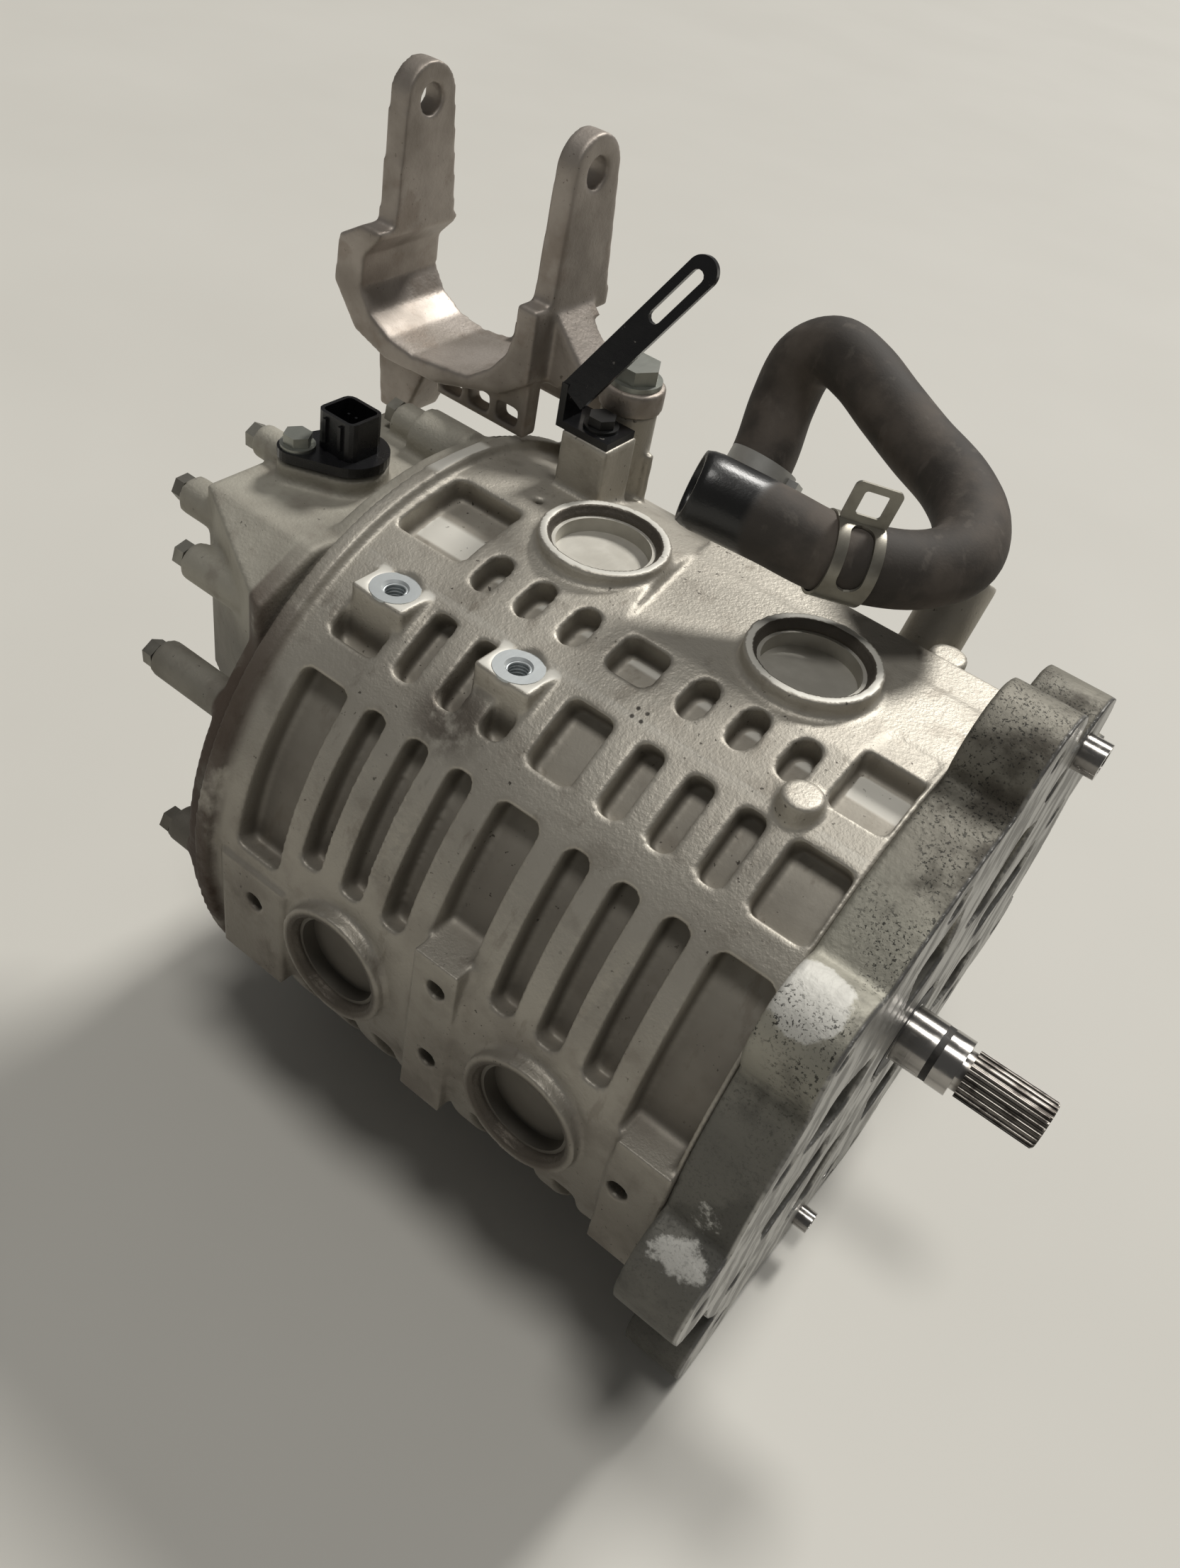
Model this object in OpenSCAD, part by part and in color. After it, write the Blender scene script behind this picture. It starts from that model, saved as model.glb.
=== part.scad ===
// Water-cooled electric drive motor with its drive-end plate, rear cover, mount bracket and coolant hose.
// Origin: centre of the drive-end face. +X runs out along the shaft, +Z is up, -Y is the ribbed side.

/* [Housing] */
// Radius of the ribbed outer surface
housing_r = 132; // [128:0.5:138]
// Length of the housing casting, from its rear rim to the drive-end plate
housing_len = 230; // [224:1:240]
// Depth of the cast pockets and slots
pocket_depth = 11; // [7:0.5:12]
// Width of a rear rim band along the shaft
rim_w = 7; // [4:0.5:9]
// How far the rear rim stands out from the ribbed surface
rim_lip = 3.5; // [1:0.5:6]
// Radius of the bore that holds the stator
stator_r = 100; // [96:0.5:101]

/* [Ribs and pockets] */
// Distance between the three slots of a bay
slot_pitch = 20.5; // [18:0.5:22]
// Distance from the middle pocket to the first slot
first_slot = 26; // [24:0.5:28]
// Width of a slot along the shaft
slot_w = 10.5; // [7:0.5:12]
// Width of the middle pocket along the shaft
mid_pocket_w = 19; // [15:0.5:21]
// Width of the pockets next to the two rims
end_pocket_w = 23; // [18:0.5:25]
// Corner radius of the pockets
pocket_round = 3.5; // [2:0.5:4]

/* [Core plugs] */
// Radius of a core plug bore
plug_r = 20; // [17:0.5:21]
// Outer radius of the raised ring round a core plug
plug_ring_r = 25.5; // [24:0.5:27]
// How far a core plug ring stands out from the ribbed surface
plug_ring_lip = 4; // [2:0.5:6]
// Depth of the plug below its ring
plug_depth = 10; // [8:0.5:13]

/* [Drive end] */
// Thickness of the drive-end plate
plate_t = 27; // [25:1:32]
// Radius of the bolt holes in the plate's ears
ear_hole_r = 4.5; // [4:0.25:5.5]
// Radius of the shaft journal outside the plate
journal_r = 12.5; // [12:0.5:13.5]
// Length of the journal from the drive-end face
journal_len = 25; // [23:1:32]
// Outer radius of the splined end
spline_r = 10.5; // [9.5:0.5:11.5]
// Length of the splined end
spline_len = 34; // [24:1:44]
// Number of spline teeth
spline_teeth = 24; // [16:1:28]

/* [Rear cover] */
// Length of the rear cover's hub behind the rear rim
hub_len = 61; // [60:0.5:66]
// Radius of the bolt circle that joins the rear cover to the housing
cover_bolt_pcd_r = 125.5; // [124:0.5:126.5]

/* [Top fittings] */
// Distance between the two threaded inserts
insert_pitch = 59; // [56:0.5:62]
// Height of the insert bosses above the shaft axis
insert_z = 118; // [114:0.5:122]
// Side offset of the insert bosses
insert_y = 65.5; // [63:0.5:68]
// Height of the bracket's fork axis above the shaft axis
fork_z = 235; // [225:1:245]
// Gap between the inside faces of the bracket's two arms
fork_gap = 73; // [64:1:82]
// Thickness of a bracket arm
arm_t = 10; // [8:0.5:12]
// Radius of the bracket's fork bores
fork_bore_r = 6; // [5:0.25:7]

/* [Coolant] */
// Outer radius of the coolant hose
hose_r = 14; // [13:0.5:15]
// Inner radius of the coolant hose
hose_bore_r = 10; // [9:0.5:10.5]

/* [Fits] */
// Radial gap between the rotor and the stator
air_gap = 0.8; // [0.6:0.1:1.2]
// Radial gap of register spigots and screw shanks
slip_gap = 0.1; // [0.05:0.05:0.2]
// Radial gap of the rolling parts in the bearing grooves
ball_gap = 0.08; // [0.04:0.02:0.1]
// Radial gap between the seal lip and the shaft
lip_gap = 0.05; // [0.02:0.01:0.1]

/* [Hidden] */
$fn = 96;
far = 400;

// Stations along the shaft
front_x = -plate_t;
rear_x = front_x - housing_len;
mid_x = (front_x + rear_x) / 2 + 8;
bay_x = first_slot + slot_pitch;
rim_r = housing_r + rim_lip;
floor_r = housing_r - pocket_depth;
ring_h = housing_r + plug_ring_lip;
plug_floor_h = ring_h - plug_depth;

// Water jacket inside the housing wall
jacket_r1 = stator_r + 5;
jacket_r2 = floor_r - 5;
jacket_x1 = mid_x - 62;
jacket_x2 = mid_x + 62;

// Stator and rotor stack
stack_x1 = mid_x - 65;
stack_x2 = mid_x + 65;
stack_len = stack_x2 - stack_x1;
stator_bore_r = 66;
rotor_r = stator_bore_r - air_gap;
rotor_bore_r = 22;
slots = 24;
slot_t = 6;
slot_r1 = 70;
slot_r2 = 92;
poles = 8;
magnet_r = 56;
magnet_w = 30;
magnet_t = 6;

// Ball bearings: front in the plate, rear in the cover
front_brg = [15, 31, 16, 4.76];
rear_brg = [12.5, 26, 15, 3.97];
front_brg_x = front_x;
rear_brg_x = rear_x - 9 - rear_brg[2];
balls = 9;
seal_t = 7;
seal_r = 21;
seal_land_r = journal_r + 0.5;
seal_x = -seal_t;
retainer_t = 3;
retainer_r = 44;
retainer_pcd_r = 37.5;

// Drive-end plate ears: angle from +Z towards -Y, centre radius, ear radius; the first holds a dowel
plate_r = housing_r + 1;
ears = [[-33, plate_r - 6, 24], [-4, plate_r - 1, 25], [49, plate_r - 6, 22], [97, plate_r - 2, 24],
        [141, plate_r + 14, 24], [198, plate_r - 4, 22], [250, plate_r - 4, 22], [300, plate_r - 4, 22]];
ear_pcd_r = housing_r + 9;
dowel_at = [[-28, plate_r - 4, 7.5, 9], [172, plate_r - 9, 5.25, 7]];
dowel_deep = 9;
plate_bolt_r = 4;
plate_bolt_head_r = 6.5;
plate_bolt_head_h = 8;
plate_bolt_pcd_r = housing_r - 16.5;
plate_bolts = [20, 73, 122, 184, 236, 296, 338];
spigot_r = stator_r + 10;
spigot_len = 8;

// Splined end
neck_len = 3;
spline_x = journal_len + neck_len;
shaft_tip_x = spline_x + spline_len;
groove_x = 15;
groove_w = 3;
groove_r = journal_r - 1.8;

// Rear cover
hub_r = 46;
hub_x = rear_x - hub_len;
resolver_r = 38;
resolver_rotor_r = 22;
resolver_t = 12;
resolver_x = hub_x + 18;
cover_flange_t = 7;
cone_r = housing_r - 18;
// The dish round the hub keeps a wall to the cone outside it and to the spigot
dish_r = min(cone_r - 15, spigot_r - 11);
rib_r = housing_r - 10;
rib_in = 8.2;
gasket_t = 0.8;
cover_x = rear_x - gasket_t;
wave_t = 2;
web_t = 5;
cap_t = 4;
box_x = hub_x + 1;
box_z = housing_r - 14;
box_y1 = -72;
box_y2 = 32;
eave_y = -101;
eave_z = housing_r - 28;
// Cover pillars: angle from +Z towards -Y, length behind the cover flange
pillars = [[-9, 38], [33, 67], [43, 47], [61, 38], [92, 14], [124, 14], [156, 14], [190, 14],
           [222, 14], [254, 14], [286, 14], [322, 14]];
// Screw boss on the edge of the roof: x, y, z, radius, length
roof_boss = [hub_x - 8, -36, box_z + 2, 7, 22];
post_r = 12;
post_len = 24;
pillar_r = 8;
cover_bolt_r = 3;
cover_bolt_head_r = 5.77;
cover_bolt_head_h = 5;
cover_bolt_grip = 14;

// Connector on the rear cover
con_x = rear_x - 31;
con_y = -26;
con_w = 19;
con_d = 18;
con_h = 20;
con_round = 3.5;
pin_h = 8;
con_wall = 1.6;
con_bolt_x = con_x - 13;
con_bolt_y = con_y - 15;
plinth_h = 8;
con_seal_t = 1;
con_plate_t = 4;
con_z = box_z + plinth_h;
plinth_r = 16;
plinth_bolt_r = 8;
con_bolt_r = 3;

// Insert bosses and top pads
insert_x1 = rear_x + 33;
insert_x2 = insert_x1 + insert_pitch;
boss_w = 25;
boss_d = 20;
insert_flange_r = 9.5;
insert_flange_t = 1.2;
insert_body_r = 7;
insert_len = 16;
insert_thread_r = 4.25;
pad_post = [-57, 54, 7.5, 127];
// Height of the flat between the two upper core plug rings
step_z = housing_r - 3;

// Side pads on the -Y face: x1, x2, top z, list of hole heights
side_y = -(housing_r + 1.5);
side_pads = [[rear_x + 14, rear_x + 48, 14, [-2]], [mid_x - 9, mid_x + 11, 42, [28, -13]],
             [-50, front_x, 24, [-2]]];
side_hole_x = [rear_x + 32, mid_x + 2, -44];
pad_hole_r = 4.25;
pad_hole_deep = 12;

// Bracket
fork_y = 56;
fork_x2 = rear_x + 9;
fork_x1 = fork_x2 - fork_gap - 2 * arm_t;
fork_mid_x = (fork_x1 + fork_x2) / 2;
eye_r = 14;
saddle_y1 = fork_y - 26;
saddle_y2 = fork_y + 21;
saddle_z = 188;
lattice_z = 132;
leg_z = 108;
tower_x = rear_x + 43;
tower_y = 54;
tower_r = 11.5;
tower_z = 158;
foot_t = 10;
foot_r = 13;
pedestal_x = rear_x + 16;
pedestal_y = 74;
pedestal_z = 140;
bracket_bolt_r = 5;
bracket_bolt_grip = 25;
bolt_flange_r = 11;
hex_af17 = 9.8;

// Harness clip
clip_post_x = rear_x + 46;
clip_post_y = 31;
clip_post_z = 154;
clip_t = 3;
clip_w = 12;
clip_base = 18;
clip_reach = 15;
clip_rise = 18;
clip_lean = [-17, 30, 0];
clip_len = 74;
clip_bolt_r = 3;

// Coolant ports: x, angle from +Z towards -Y
outlet_x = rear_x + 83;
outlet_phi = -38.5;
inlet_x = outlet_x;
inlet_phi = -105;
port_boss_r = 18;
port_boss_h = housing_r + 16;
pipe_r = hose_bore_r;
pipe_seat_r = pipe_r - 0.8;
pipe_bore_r = pipe_r - 2.5;
pipe_len = 34;
lug_x = -70;
lug_phi = -32;
lug_h = housing_r + 34;

// Hose route from the outlet pipe to the free end, at its centreline
hose_path = [[-174, 94, 118], [-176, 108, 136], [-180, 120, 153], [-178, 125, 171], [-166, 125, 181],
             [-150, 121, 180], [-132, 114, 175], [-112, 106, 170], [-90, 92, 169], [-74, 75, 167],
             [-68, 56, 163], [-79, 38, 160], [-100, 19, 163], [-122, 8, 169], [-148, -5, 176]];
clamp_w = 18;
clamp_t = 1.4;
loop_h = 16;
hose_sides = 12;
hose_steps = 4;

// Terminal opening on the +Y side
term_x = front_x - 26;
term_w = 26;
term_h = 66;
term_rim = 10;
term_screw_in = 5;
stud_pitch = 21;
term_y = housing_r + 6;
term_cover_t = 5;
term_screw_r = 2.5;

// Stands a piece's own Z axis along the shaft at station x
module along_x(x) {
  translate([x, 0, 0]) rotate([0, 90, 0]) children();
}

// A ring round the shaft from station x, with a bore
module ring_x(x, len, r, bore) {
  along_x(x) difference() {
    cylinder(r = r, h = len);
    translate([0, 0, -1]) cylinder(r = bore, h = len + 2);
  }
}

// Puts children at station x on the ray that leans phi from +Z towards -Y
module on_ray(x, phi, r = 0) {
  rotate([phi, 0, 0]) translate([x, 0, r]) children();
}

// Puts children, which point along the shaft, on a circle of radius r round the shaft
module on_circle(x, phi, r) {
  rotate([phi, 0, 0]) translate([x, 0, r]) rotate([0, 90, 0]) children();
}

// Rectangle with round corners, three short flats to a corner
module round_rect(w, l, r) {
  polygon([for (c = [0:3], k = [0:3])
    let (a = c * 90 + k * 30, sx = c == 0 || c == 3 ? 1 : -1, sy = c < 2 ? 1 : -1)
    [sx * (w / 2 - r) + r * cos(a), sy * (l / 2 - r) + r * sin(a)]]);
}

// Slot with round ends, length l over all along Y
module stadium(w, l) {
  polygon([for (c = [0, 1], k = [0:6])
    let (a = c * 180 + k * 30) [w / 2 * cos(a), (1 - 2 * c) * (l - w) / 2 + w / 2 * sin(a)]]);
}

// One pocket that runs between two angles; the floor is cut concentric by the caller
module pocket(x, w, phi1, phi2, r = pocket_round) {
  len = 2 * housing_r * sin((phi2 - phi1) / 2);
  on_ray(x, (phi1 + phi2) / 2, floor_r - 12)
    linear_extrude(60) round_rect(w, len, r);
}

// A row of pockets round the middle of the housing, with the two end pockets
module pocket_row(phi1, phi2, mid_phi2, end_phi2) {
  for (side = [-1, 1], i = [0:2])
    pocket(mid_x + side * (first_slot + i * slot_pitch), slot_w, phi1, phi2);
  pocket(mid_x, mid_pocket_w, phi1, mid_phi2);
  pocket(rear_x + 19 + end_pocket_w / 2, end_pocket_w, phi1, end_phi2);
  pocket(front_x - 2 - end_pocket_w / 2, end_pocket_w, phi1, end_phi2);
}

// Hexagonal bolt with a flange, seated at z = 0 with its shank down
module flange_bolt(r, head_r, head_h, shank, flange_r = 0) {
  cylinder(r = head_r, h = head_h, $fn = 6);
  if (flange_r > 0) cylinder(r = flange_r, h = head_h * 0.25);
  translate([0, 0, -shank]) cylinder(r = r, h = shank);
}

// Socket-head screw, seated at z = 0 with its shank down
module cap_screw(r, head_r, head_h, shank) {
  difference() {
    cylinder(r = head_r, h = head_h);
    translate([0, 0, head_h * 0.4]) cylinder(r = head_r * 0.55, h = head_h, $fn = 6);
  }
  translate([0, 0, -shank]) cylinder(r = r, h = shank);
}

// Centre of each side pad hole
module side_holes(deep, r) {
  for (i = [0:2], z = side_pads[i][3])
    translate([side_hole_x[i], side_y - 1, z]) rotate([-90, 0, 0]) cylinder(r = r, h = deep + 1);
}

// The four core plug axes: two on top, two on the -Y side
module plug_axes() {
  for (phi = [0, 90], side = [-1, 1])
    on_ray(mid_x + side * bay_x, phi) children();
}

// Pads, towers, posts and ports that stand on the ribbed shell
module housing_fittings() {
  plug_axes() cylinder(r = plug_ring_r, h = ring_h);
  for (p = side_pads)
    translate([p[0], side_y, -40]) cube([p[1] - p[0], -side_y, 40 + p[2]]);
  top_step();
  translate([tower_x, tower_y, 90]) cylinder(r = tower_r, h = tower_z - 90);
  translate([tower_x + 4, tower_y - 2, 90]) cube([11, 4, tower_z - 106]);
  translate([clip_post_x - 11, clip_post_y - 10, 90]) cube([22, 20, clip_post_z - 90]);
  translate([pedestal_x, pedestal_y, 70]) cylinder(r = foot_r, h = pedestal_z - 70);
  on_ray(outlet_x, outlet_phi) cylinder(r = port_boss_r, h = port_boss_h);
  on_ray(inlet_x, inlet_phi) cylinder(r = port_boss_r, h = port_boss_h);
  on_ray(lug_x, lug_phi) cylinder(r = 12, h = lug_h);
  translate([term_x - term_w / 2 - term_rim, 0, -term_h / 2 - term_rim])
    cube([term_w + 2 * term_rim, term_y, term_h + 2 * term_rim]);
  insert_bosses();
  pad_posts();
}

// Flat step on the top between the two plug rings
module top_step() {
  linear_extrude(step_z - 0.5)
    polygon([[mid_x - 13, -20], [mid_x - 26, 48], [front_x, 48], [front_x, -20]]);
}

// Outer wall with its cast pockets, closed by the wall that forms their floors
module ribbed_shell() {
  difference() {
    along_x(rear_x) cylinder(r = housing_r, h = housing_len);
    // Row of short slots under the top rings
    for (side = [-1, 1], i = [0:2])
      on_ray(mid_x + side * (first_slot + i * slot_pitch), 17.4, floor_r - 12)
        linear_extrude(60) stadium(slot_w, 19);
    pocket(mid_x, mid_pocket_w, 13.5, 21);
    translate([0, 0, step_z]) linear_extrude(far)
      polygon([[mid_x - 15, -32], [mid_x - 26.5, 49], [front_x + 1, 49], [front_x + 1, -32]]);
    pocket(rear_x + 27, 33, 3, 19);
    pocket(front_x - 2 - end_pocket_w / 2, end_pocket_w, 3, 21);
    // Rectangular and long rows on the -Y side, then the rows underneath
    pocket_row(27.8, 40.4, 40.4, 40.4);
    pocket_row(46.8, 75.4, 72, 81);
    pocket_row(106, 134, 134, 134);
    pocket_row(140, 168, 168, 168);
    pocket_row(192, 220, 220, 220);
  }
  along_x(rear_x) cylinder(r = floor_r, h = housing_len);
  along_x(rear_x) cylinder(r = rim_r, h = rim_w);
}

module insert_bosses() {
  for (x = [insert_x1, insert_x2])
    translate([x - boss_w / 2, -insert_y - boss_d / 2, insert_z - 30]) cube([boss_w, boss_d, 30]);
}

module pad_posts() {
  for (side = [-1, 1])
    translate([pad_post[0], side * pad_post[1], 100]) cylinder(r = pad_post[2], h = pad_post[3] - 100);
}

module housing_bores() {
  // Stator bore with its stop shoulder, front and rear registers
  along_x(stack_x1) cylinder(r = stator_r, h = far);
  along_x(rear_x - 1) cylinder(r = stator_r - 5, h = housing_len);
  along_x(front_x - spigot_len - 1) cylinder(r = spigot_r, h = far);
  along_x(rear_x - 1) cylinder(r = spigot_r, h = 8);
  // Water jacket and core plug bores
  ring_x(jacket_x1, jacket_x2 - jacket_x1, jacket_r2, jacket_r1);
  plug_axes() translate([0, 0, jacket_r1]) cylinder(r = plug_r, h = far);
  plug_axes() translate([0, 0, ring_h - 2.5]) cylinder(r = plug_r + 1.5, h = far);
  on_ray(outlet_x, outlet_phi, jacket_r1) cylinder(r = pipe_seat_r, h = far);
  on_ray(inlet_x, inlet_phi, jacket_r1) cylinder(r = pipe_seat_r, h = far);
  on_ray(rear_x + 41, -2, floor_r) cylinder(r = 2, h = far);
  side_holes(pad_hole_deep, pad_hole_r);
  // Tapped holes for covers, plate, bracket, clip, inserts and lug
  for (p = pillars)
    on_circle(rear_x - 1, p[0], cover_bolt_pcd_r)
      cylinder(r = cover_bolt_r + slip_gap, h = cover_bolt_grip + 3);
  for (phi = plate_bolts)
    on_circle(front_x - 16, phi, plate_bolt_pcd_r) cylinder(r = plate_bolt_r + slip_gap, h = 17);
  for (p = [[tower_x, tower_y, tower_z], [pedestal_x, pedestal_y, pedestal_z]])
    translate([p[0], p[1], p[2] - bracket_bolt_grip + foot_t - 2])
      cylinder(r = bracket_bolt_r + slip_gap, h = far);
  translate([clip_post_x, clip_post_y, clip_post_z - 15]) cylinder(r = clip_bolt_r + slip_gap, h = far);
  for (x = [insert_x1, insert_x2])
    translate([x, -insert_y, insert_z]) {
      translate([0, 0, -insert_flange_t]) cylinder(r = insert_flange_r, h = far);
      translate([0, 0, -insert_len]) cylinder(r = insert_body_r, h = far);
    }
  on_ray(lug_x, lug_phi, lug_h - 16) cylinder(r = 4.25, h = far);
  // Terminal opening
  translate([term_x - term_w / 2, stator_r - 20, -term_h / 2]) cube([term_w, 80, term_h]);
  for (sx = [-1, 1], sz = [-1, 1])
    translate([term_x + sx * (term_w / 2 + term_screw_in), term_y - 12, sz * (term_h / 2 + term_screw_in)])
      rotate([-90, 0, 0]) cylinder(r = term_screw_r + slip_gap, h = 20);
}

module motor_housing() {
  color([0.72, 0.69, 0.64]) difference() {
    union() {
      ribbed_shell();
      housing_fittings();
    }
    housing_bores();
  }
}

module plate_outline() {
  circle(r = plate_r);
  for (e = ears)
    rotate(e[0]) translate([-e[1], 0]) circle(r = e[2]);
}

module drive_end_plate() {
  color([0.5, 0.5, 0.47]) difference() {
    union() {
      along_x(front_x) linear_extrude(plate_t) plate_outline();
      ring_x(front_x - spigot_len, spigot_len + 1, spigot_r - slip_gap, stator_r + 1);
    }
    along_x(front_x - 1) cylinder(r = front_brg[1], h = front_brg[2] + 1);
    along_x(front_x) cylinder(r = front_brg[1] - 7, h = far);
    along_x(seal_x) cylinder(r = seal_r, h = far);
    for (i = [1:len(ears) - 1])
      on_circle(front_x - 1, ears[i][0], ear_pcd_r) cylinder(r = ear_hole_r, h = far);
    for (d = dowel_at)
      on_circle(-dowel_deep, d[0], d[1]) cylinder(r = d[2], h = far);
    for (phi = plate_bolts) {
      on_circle(front_x - 1, phi, plate_bolt_pcd_r) cylinder(r = plate_bolt_r + slip_gap, h = far);
      on_circle(-plate_bolt_head_h - 2, phi, plate_bolt_pcd_r)
        cylinder(r = plate_bolt_head_r + 0.5, h = far);
    }
    for (i = [0:2])
      on_circle(front_x - 1, i * 120 + 30, retainer_pcd_r) cylinder(r = 2.5 + slip_gap, h = 14);
    // Lightening pockets in the machined face
    for (i = [0:7])
      along_x(-6) rotate(i * 45 + 22.5) translate([76, 0, 0]) linear_extrude(far) round_rect(44, 30, 6);
  }
}

module dowel_sleeves() {
  color([0.7, 0.7, 0.7]) for (d = dowel_at)
    on_circle(-dowel_deep, d[0], d[1]) difference() {
      cylinder(r = d[2], h = dowel_deep + d[3]);
      translate([0, 0, -1]) cylinder(r = d[2] * 0.6, h = far);
    }
}

module drive_end_bolts() {
  color([0.4, 0.4, 0.4]) for (phi = plate_bolts)
    on_circle(-plate_bolt_head_h - 2, phi, plate_bolt_pcd_r)
      cap_screw(plate_bolt_r, plate_bolt_head_r, plate_bolt_head_h, plate_t + 5);
}

module shaft_seal() {
  color([0.15, 0.12, 0.1]) ring_x(seal_x, seal_t, seal_r, seal_land_r + lip_gap);
}

// Ball bearing parts: b = [bore radius, outer radius, width, ball radius]
function pitch_r(b) = (b[0] + b[1]) / 2;

module race_groove(b) {
  translate([0, 0, b[2] / 2])
    rotate_extrude() translate([pitch_r(b), 0]) circle(r = b[3] + ball_gap, $fn = 48);
}

module outer_race(x, b) {
  along_x(x) difference() {
    cylinder(r = b[1], h = b[2]);
    translate([0, 0, -1]) cylinder(r = pitch_r(b) + b[3] * 0.6, h = b[2] + 2);
    race_groove(b);
  }
}

module inner_race(x, b) {
  along_x(x) difference() {
    cylinder(r = pitch_r(b) - b[3] * 0.6, h = b[2]);
    translate([0, 0, -1]) cylinder(r = b[0], h = b[2] + 2);
    race_groove(b);
  }
}

module ball_set(x, b) {
  along_x(x + b[2] / 2) for (i = [1:balls])
    rotate(i * 360 / balls) translate([pitch_r(b), 0, 0]) sphere(r = b[3], $fn = 48);
}

module ball_cage(x, b) {
  along_x(x + b[2] / 2) difference() {
    translate([0, 0, -b[3] * 1.2]) cylinder(r = pitch_r(b) + b[3] * 0.36, h = b[3] * 2.4);
    translate([0, 0, -b[2]]) cylinder(r = pitch_r(b) - b[3] * 0.36, h = 2 * b[2]);
    for (i = [1:balls])
      rotate(i * 360 / balls) translate([pitch_r(b) / 2, 0, 0]) rotate([0, 90, 0])
        cylinder(r = b[3], h = b[1]);
  }
}

module front_bearing_outer_race() { color([0.75, 0.75, 0.75]) outer_race(front_brg_x, front_brg); }
module front_bearing_inner_race() { color([0.75, 0.75, 0.75]) inner_race(front_brg_x, front_brg); }
module front_bearing_balls() { color([0.85, 0.85, 0.85]) ball_set(front_brg_x, front_brg); }
module front_bearing_cage() { color([0.7, 0.6, 0.3]) ball_cage(front_brg_x, front_brg); }
module rear_bearing_outer_race() { color([0.75, 0.75, 0.75]) outer_race(rear_brg_x, rear_brg); }
module rear_bearing_inner_race() { color([0.75, 0.75, 0.75]) inner_race(rear_brg_x, rear_brg); }
module rear_bearing_balls() { color([0.85, 0.85, 0.85]) ball_set(rear_brg_x, rear_brg); }
module rear_bearing_cage() { color([0.7, 0.6, 0.3]) ball_cage(rear_brg_x, rear_brg); }

module bearing_retainer() {
  color([0.55, 0.55, 0.55]) difference() {
    ring_x(front_x - retainer_t, retainer_t, retainer_r, front_brg[1] - 3);
    for (i = [0:2])
      on_circle(front_x - retainer_t - 1, i * 120 + 30, retainer_pcd_r)
        cylinder(r = 2.5 + slip_gap, h = retainer_t + 2);
  }
}

module bearing_retainer_screws() {
  color([0.35, 0.35, 0.35]) for (i = [0:2])
    on_circle(front_x - retainer_t, i * 120 + 30, retainer_pcd_r)
      rotate([180, 0, 0]) cap_screw(2.5, 4.25, 4, 12);
}

module bearing_wave_washer() {
  color([0.5, 0.5, 0.55]) ring_x(rear_brg_x - wave_t, wave_t, rear_brg[1] - 0.3, rear_brg[1] - 4);
}

module core_plugs() {
  color([0.8, 0.78, 0.72]) plug_axes()
    translate([0, 0, plug_floor_h - 2]) difference() {
      cylinder(r = plug_r, h = 8);
      translate([0, 0, 2]) cylinder(r = plug_r - 1.5, h = 8);
    }
}

module thread_inserts() {
  color([0.72, 0.76, 0.8]) for (x = [insert_x1, insert_x2])
    translate([x, -insert_y, insert_z]) difference() {
      union() {
        translate([0, 0, -insert_flange_t]) cylinder(r = insert_flange_r, h = insert_flange_t);
        translate([0, 0, -insert_len]) cylinder(r = insert_body_r, h = insert_len);
      }
      translate([0, 0, -insert_len - 1]) cylinder(r = insert_thread_r, h = insert_len + 2);
      translate([0, 0, -1]) cylinder(r1 = insert_thread_r, r2 = insert_thread_r + 1.2, h = 1.2);
    }
}

module cover_roof() {
  intersection() {
    translate([box_x, 0, 0]) rotate([90, 0, 90]) linear_extrude(cover_x - 1 - box_x)
      polygon([[box_y2, 30], [box_y2, box_z], [box_y1, box_z], [eave_y, eave_z], [eave_y, 30]]);
    linear_extrude(far)
      polygon([[cover_x, box_y2 + 1], [cover_x, eave_y], [box_x - 1, box_y1], [box_x - 1, box_y2 + 1]]);
  }
}

module cover_plinth(z1, z2) {
  to_bolt = [con_bolt_x - con_x, con_bolt_y - con_y];
  turn = atan2(to_bolt[1], to_bolt[0]);
  lean = acos((plinth_r - plinth_bolt_r) / norm(to_bolt));
  around = [for (k = [0:24]) turn + lean + k * (360 - 2 * lean) / 24];
  nose = [for (k = [0:10]) turn - lean + k * 2 * lean / 10];
  translate([con_x, con_y, z1]) linear_extrude(z2 - z1)
    polygon(concat([for (a = around) plinth_r * [cos(a), sin(a)]],
                   [for (a = nose) to_bolt + plinth_bolt_r * [cos(a), sin(a)]]));
}

// One radial rib from the hub out to the cover's flange
module cover_rib() {
  rotate([90, 0, 0]) linear_extrude(5, center = true)
    polygon([[cover_x - 5, hub_r - 6], [cover_x - 5, rib_r], [cover_x - 2 * cover_flange_t, rib_r],
             [hub_x + rib_in, hub_r + 10], [hub_x + rib_in, hub_r - 6]]);
}

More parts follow.
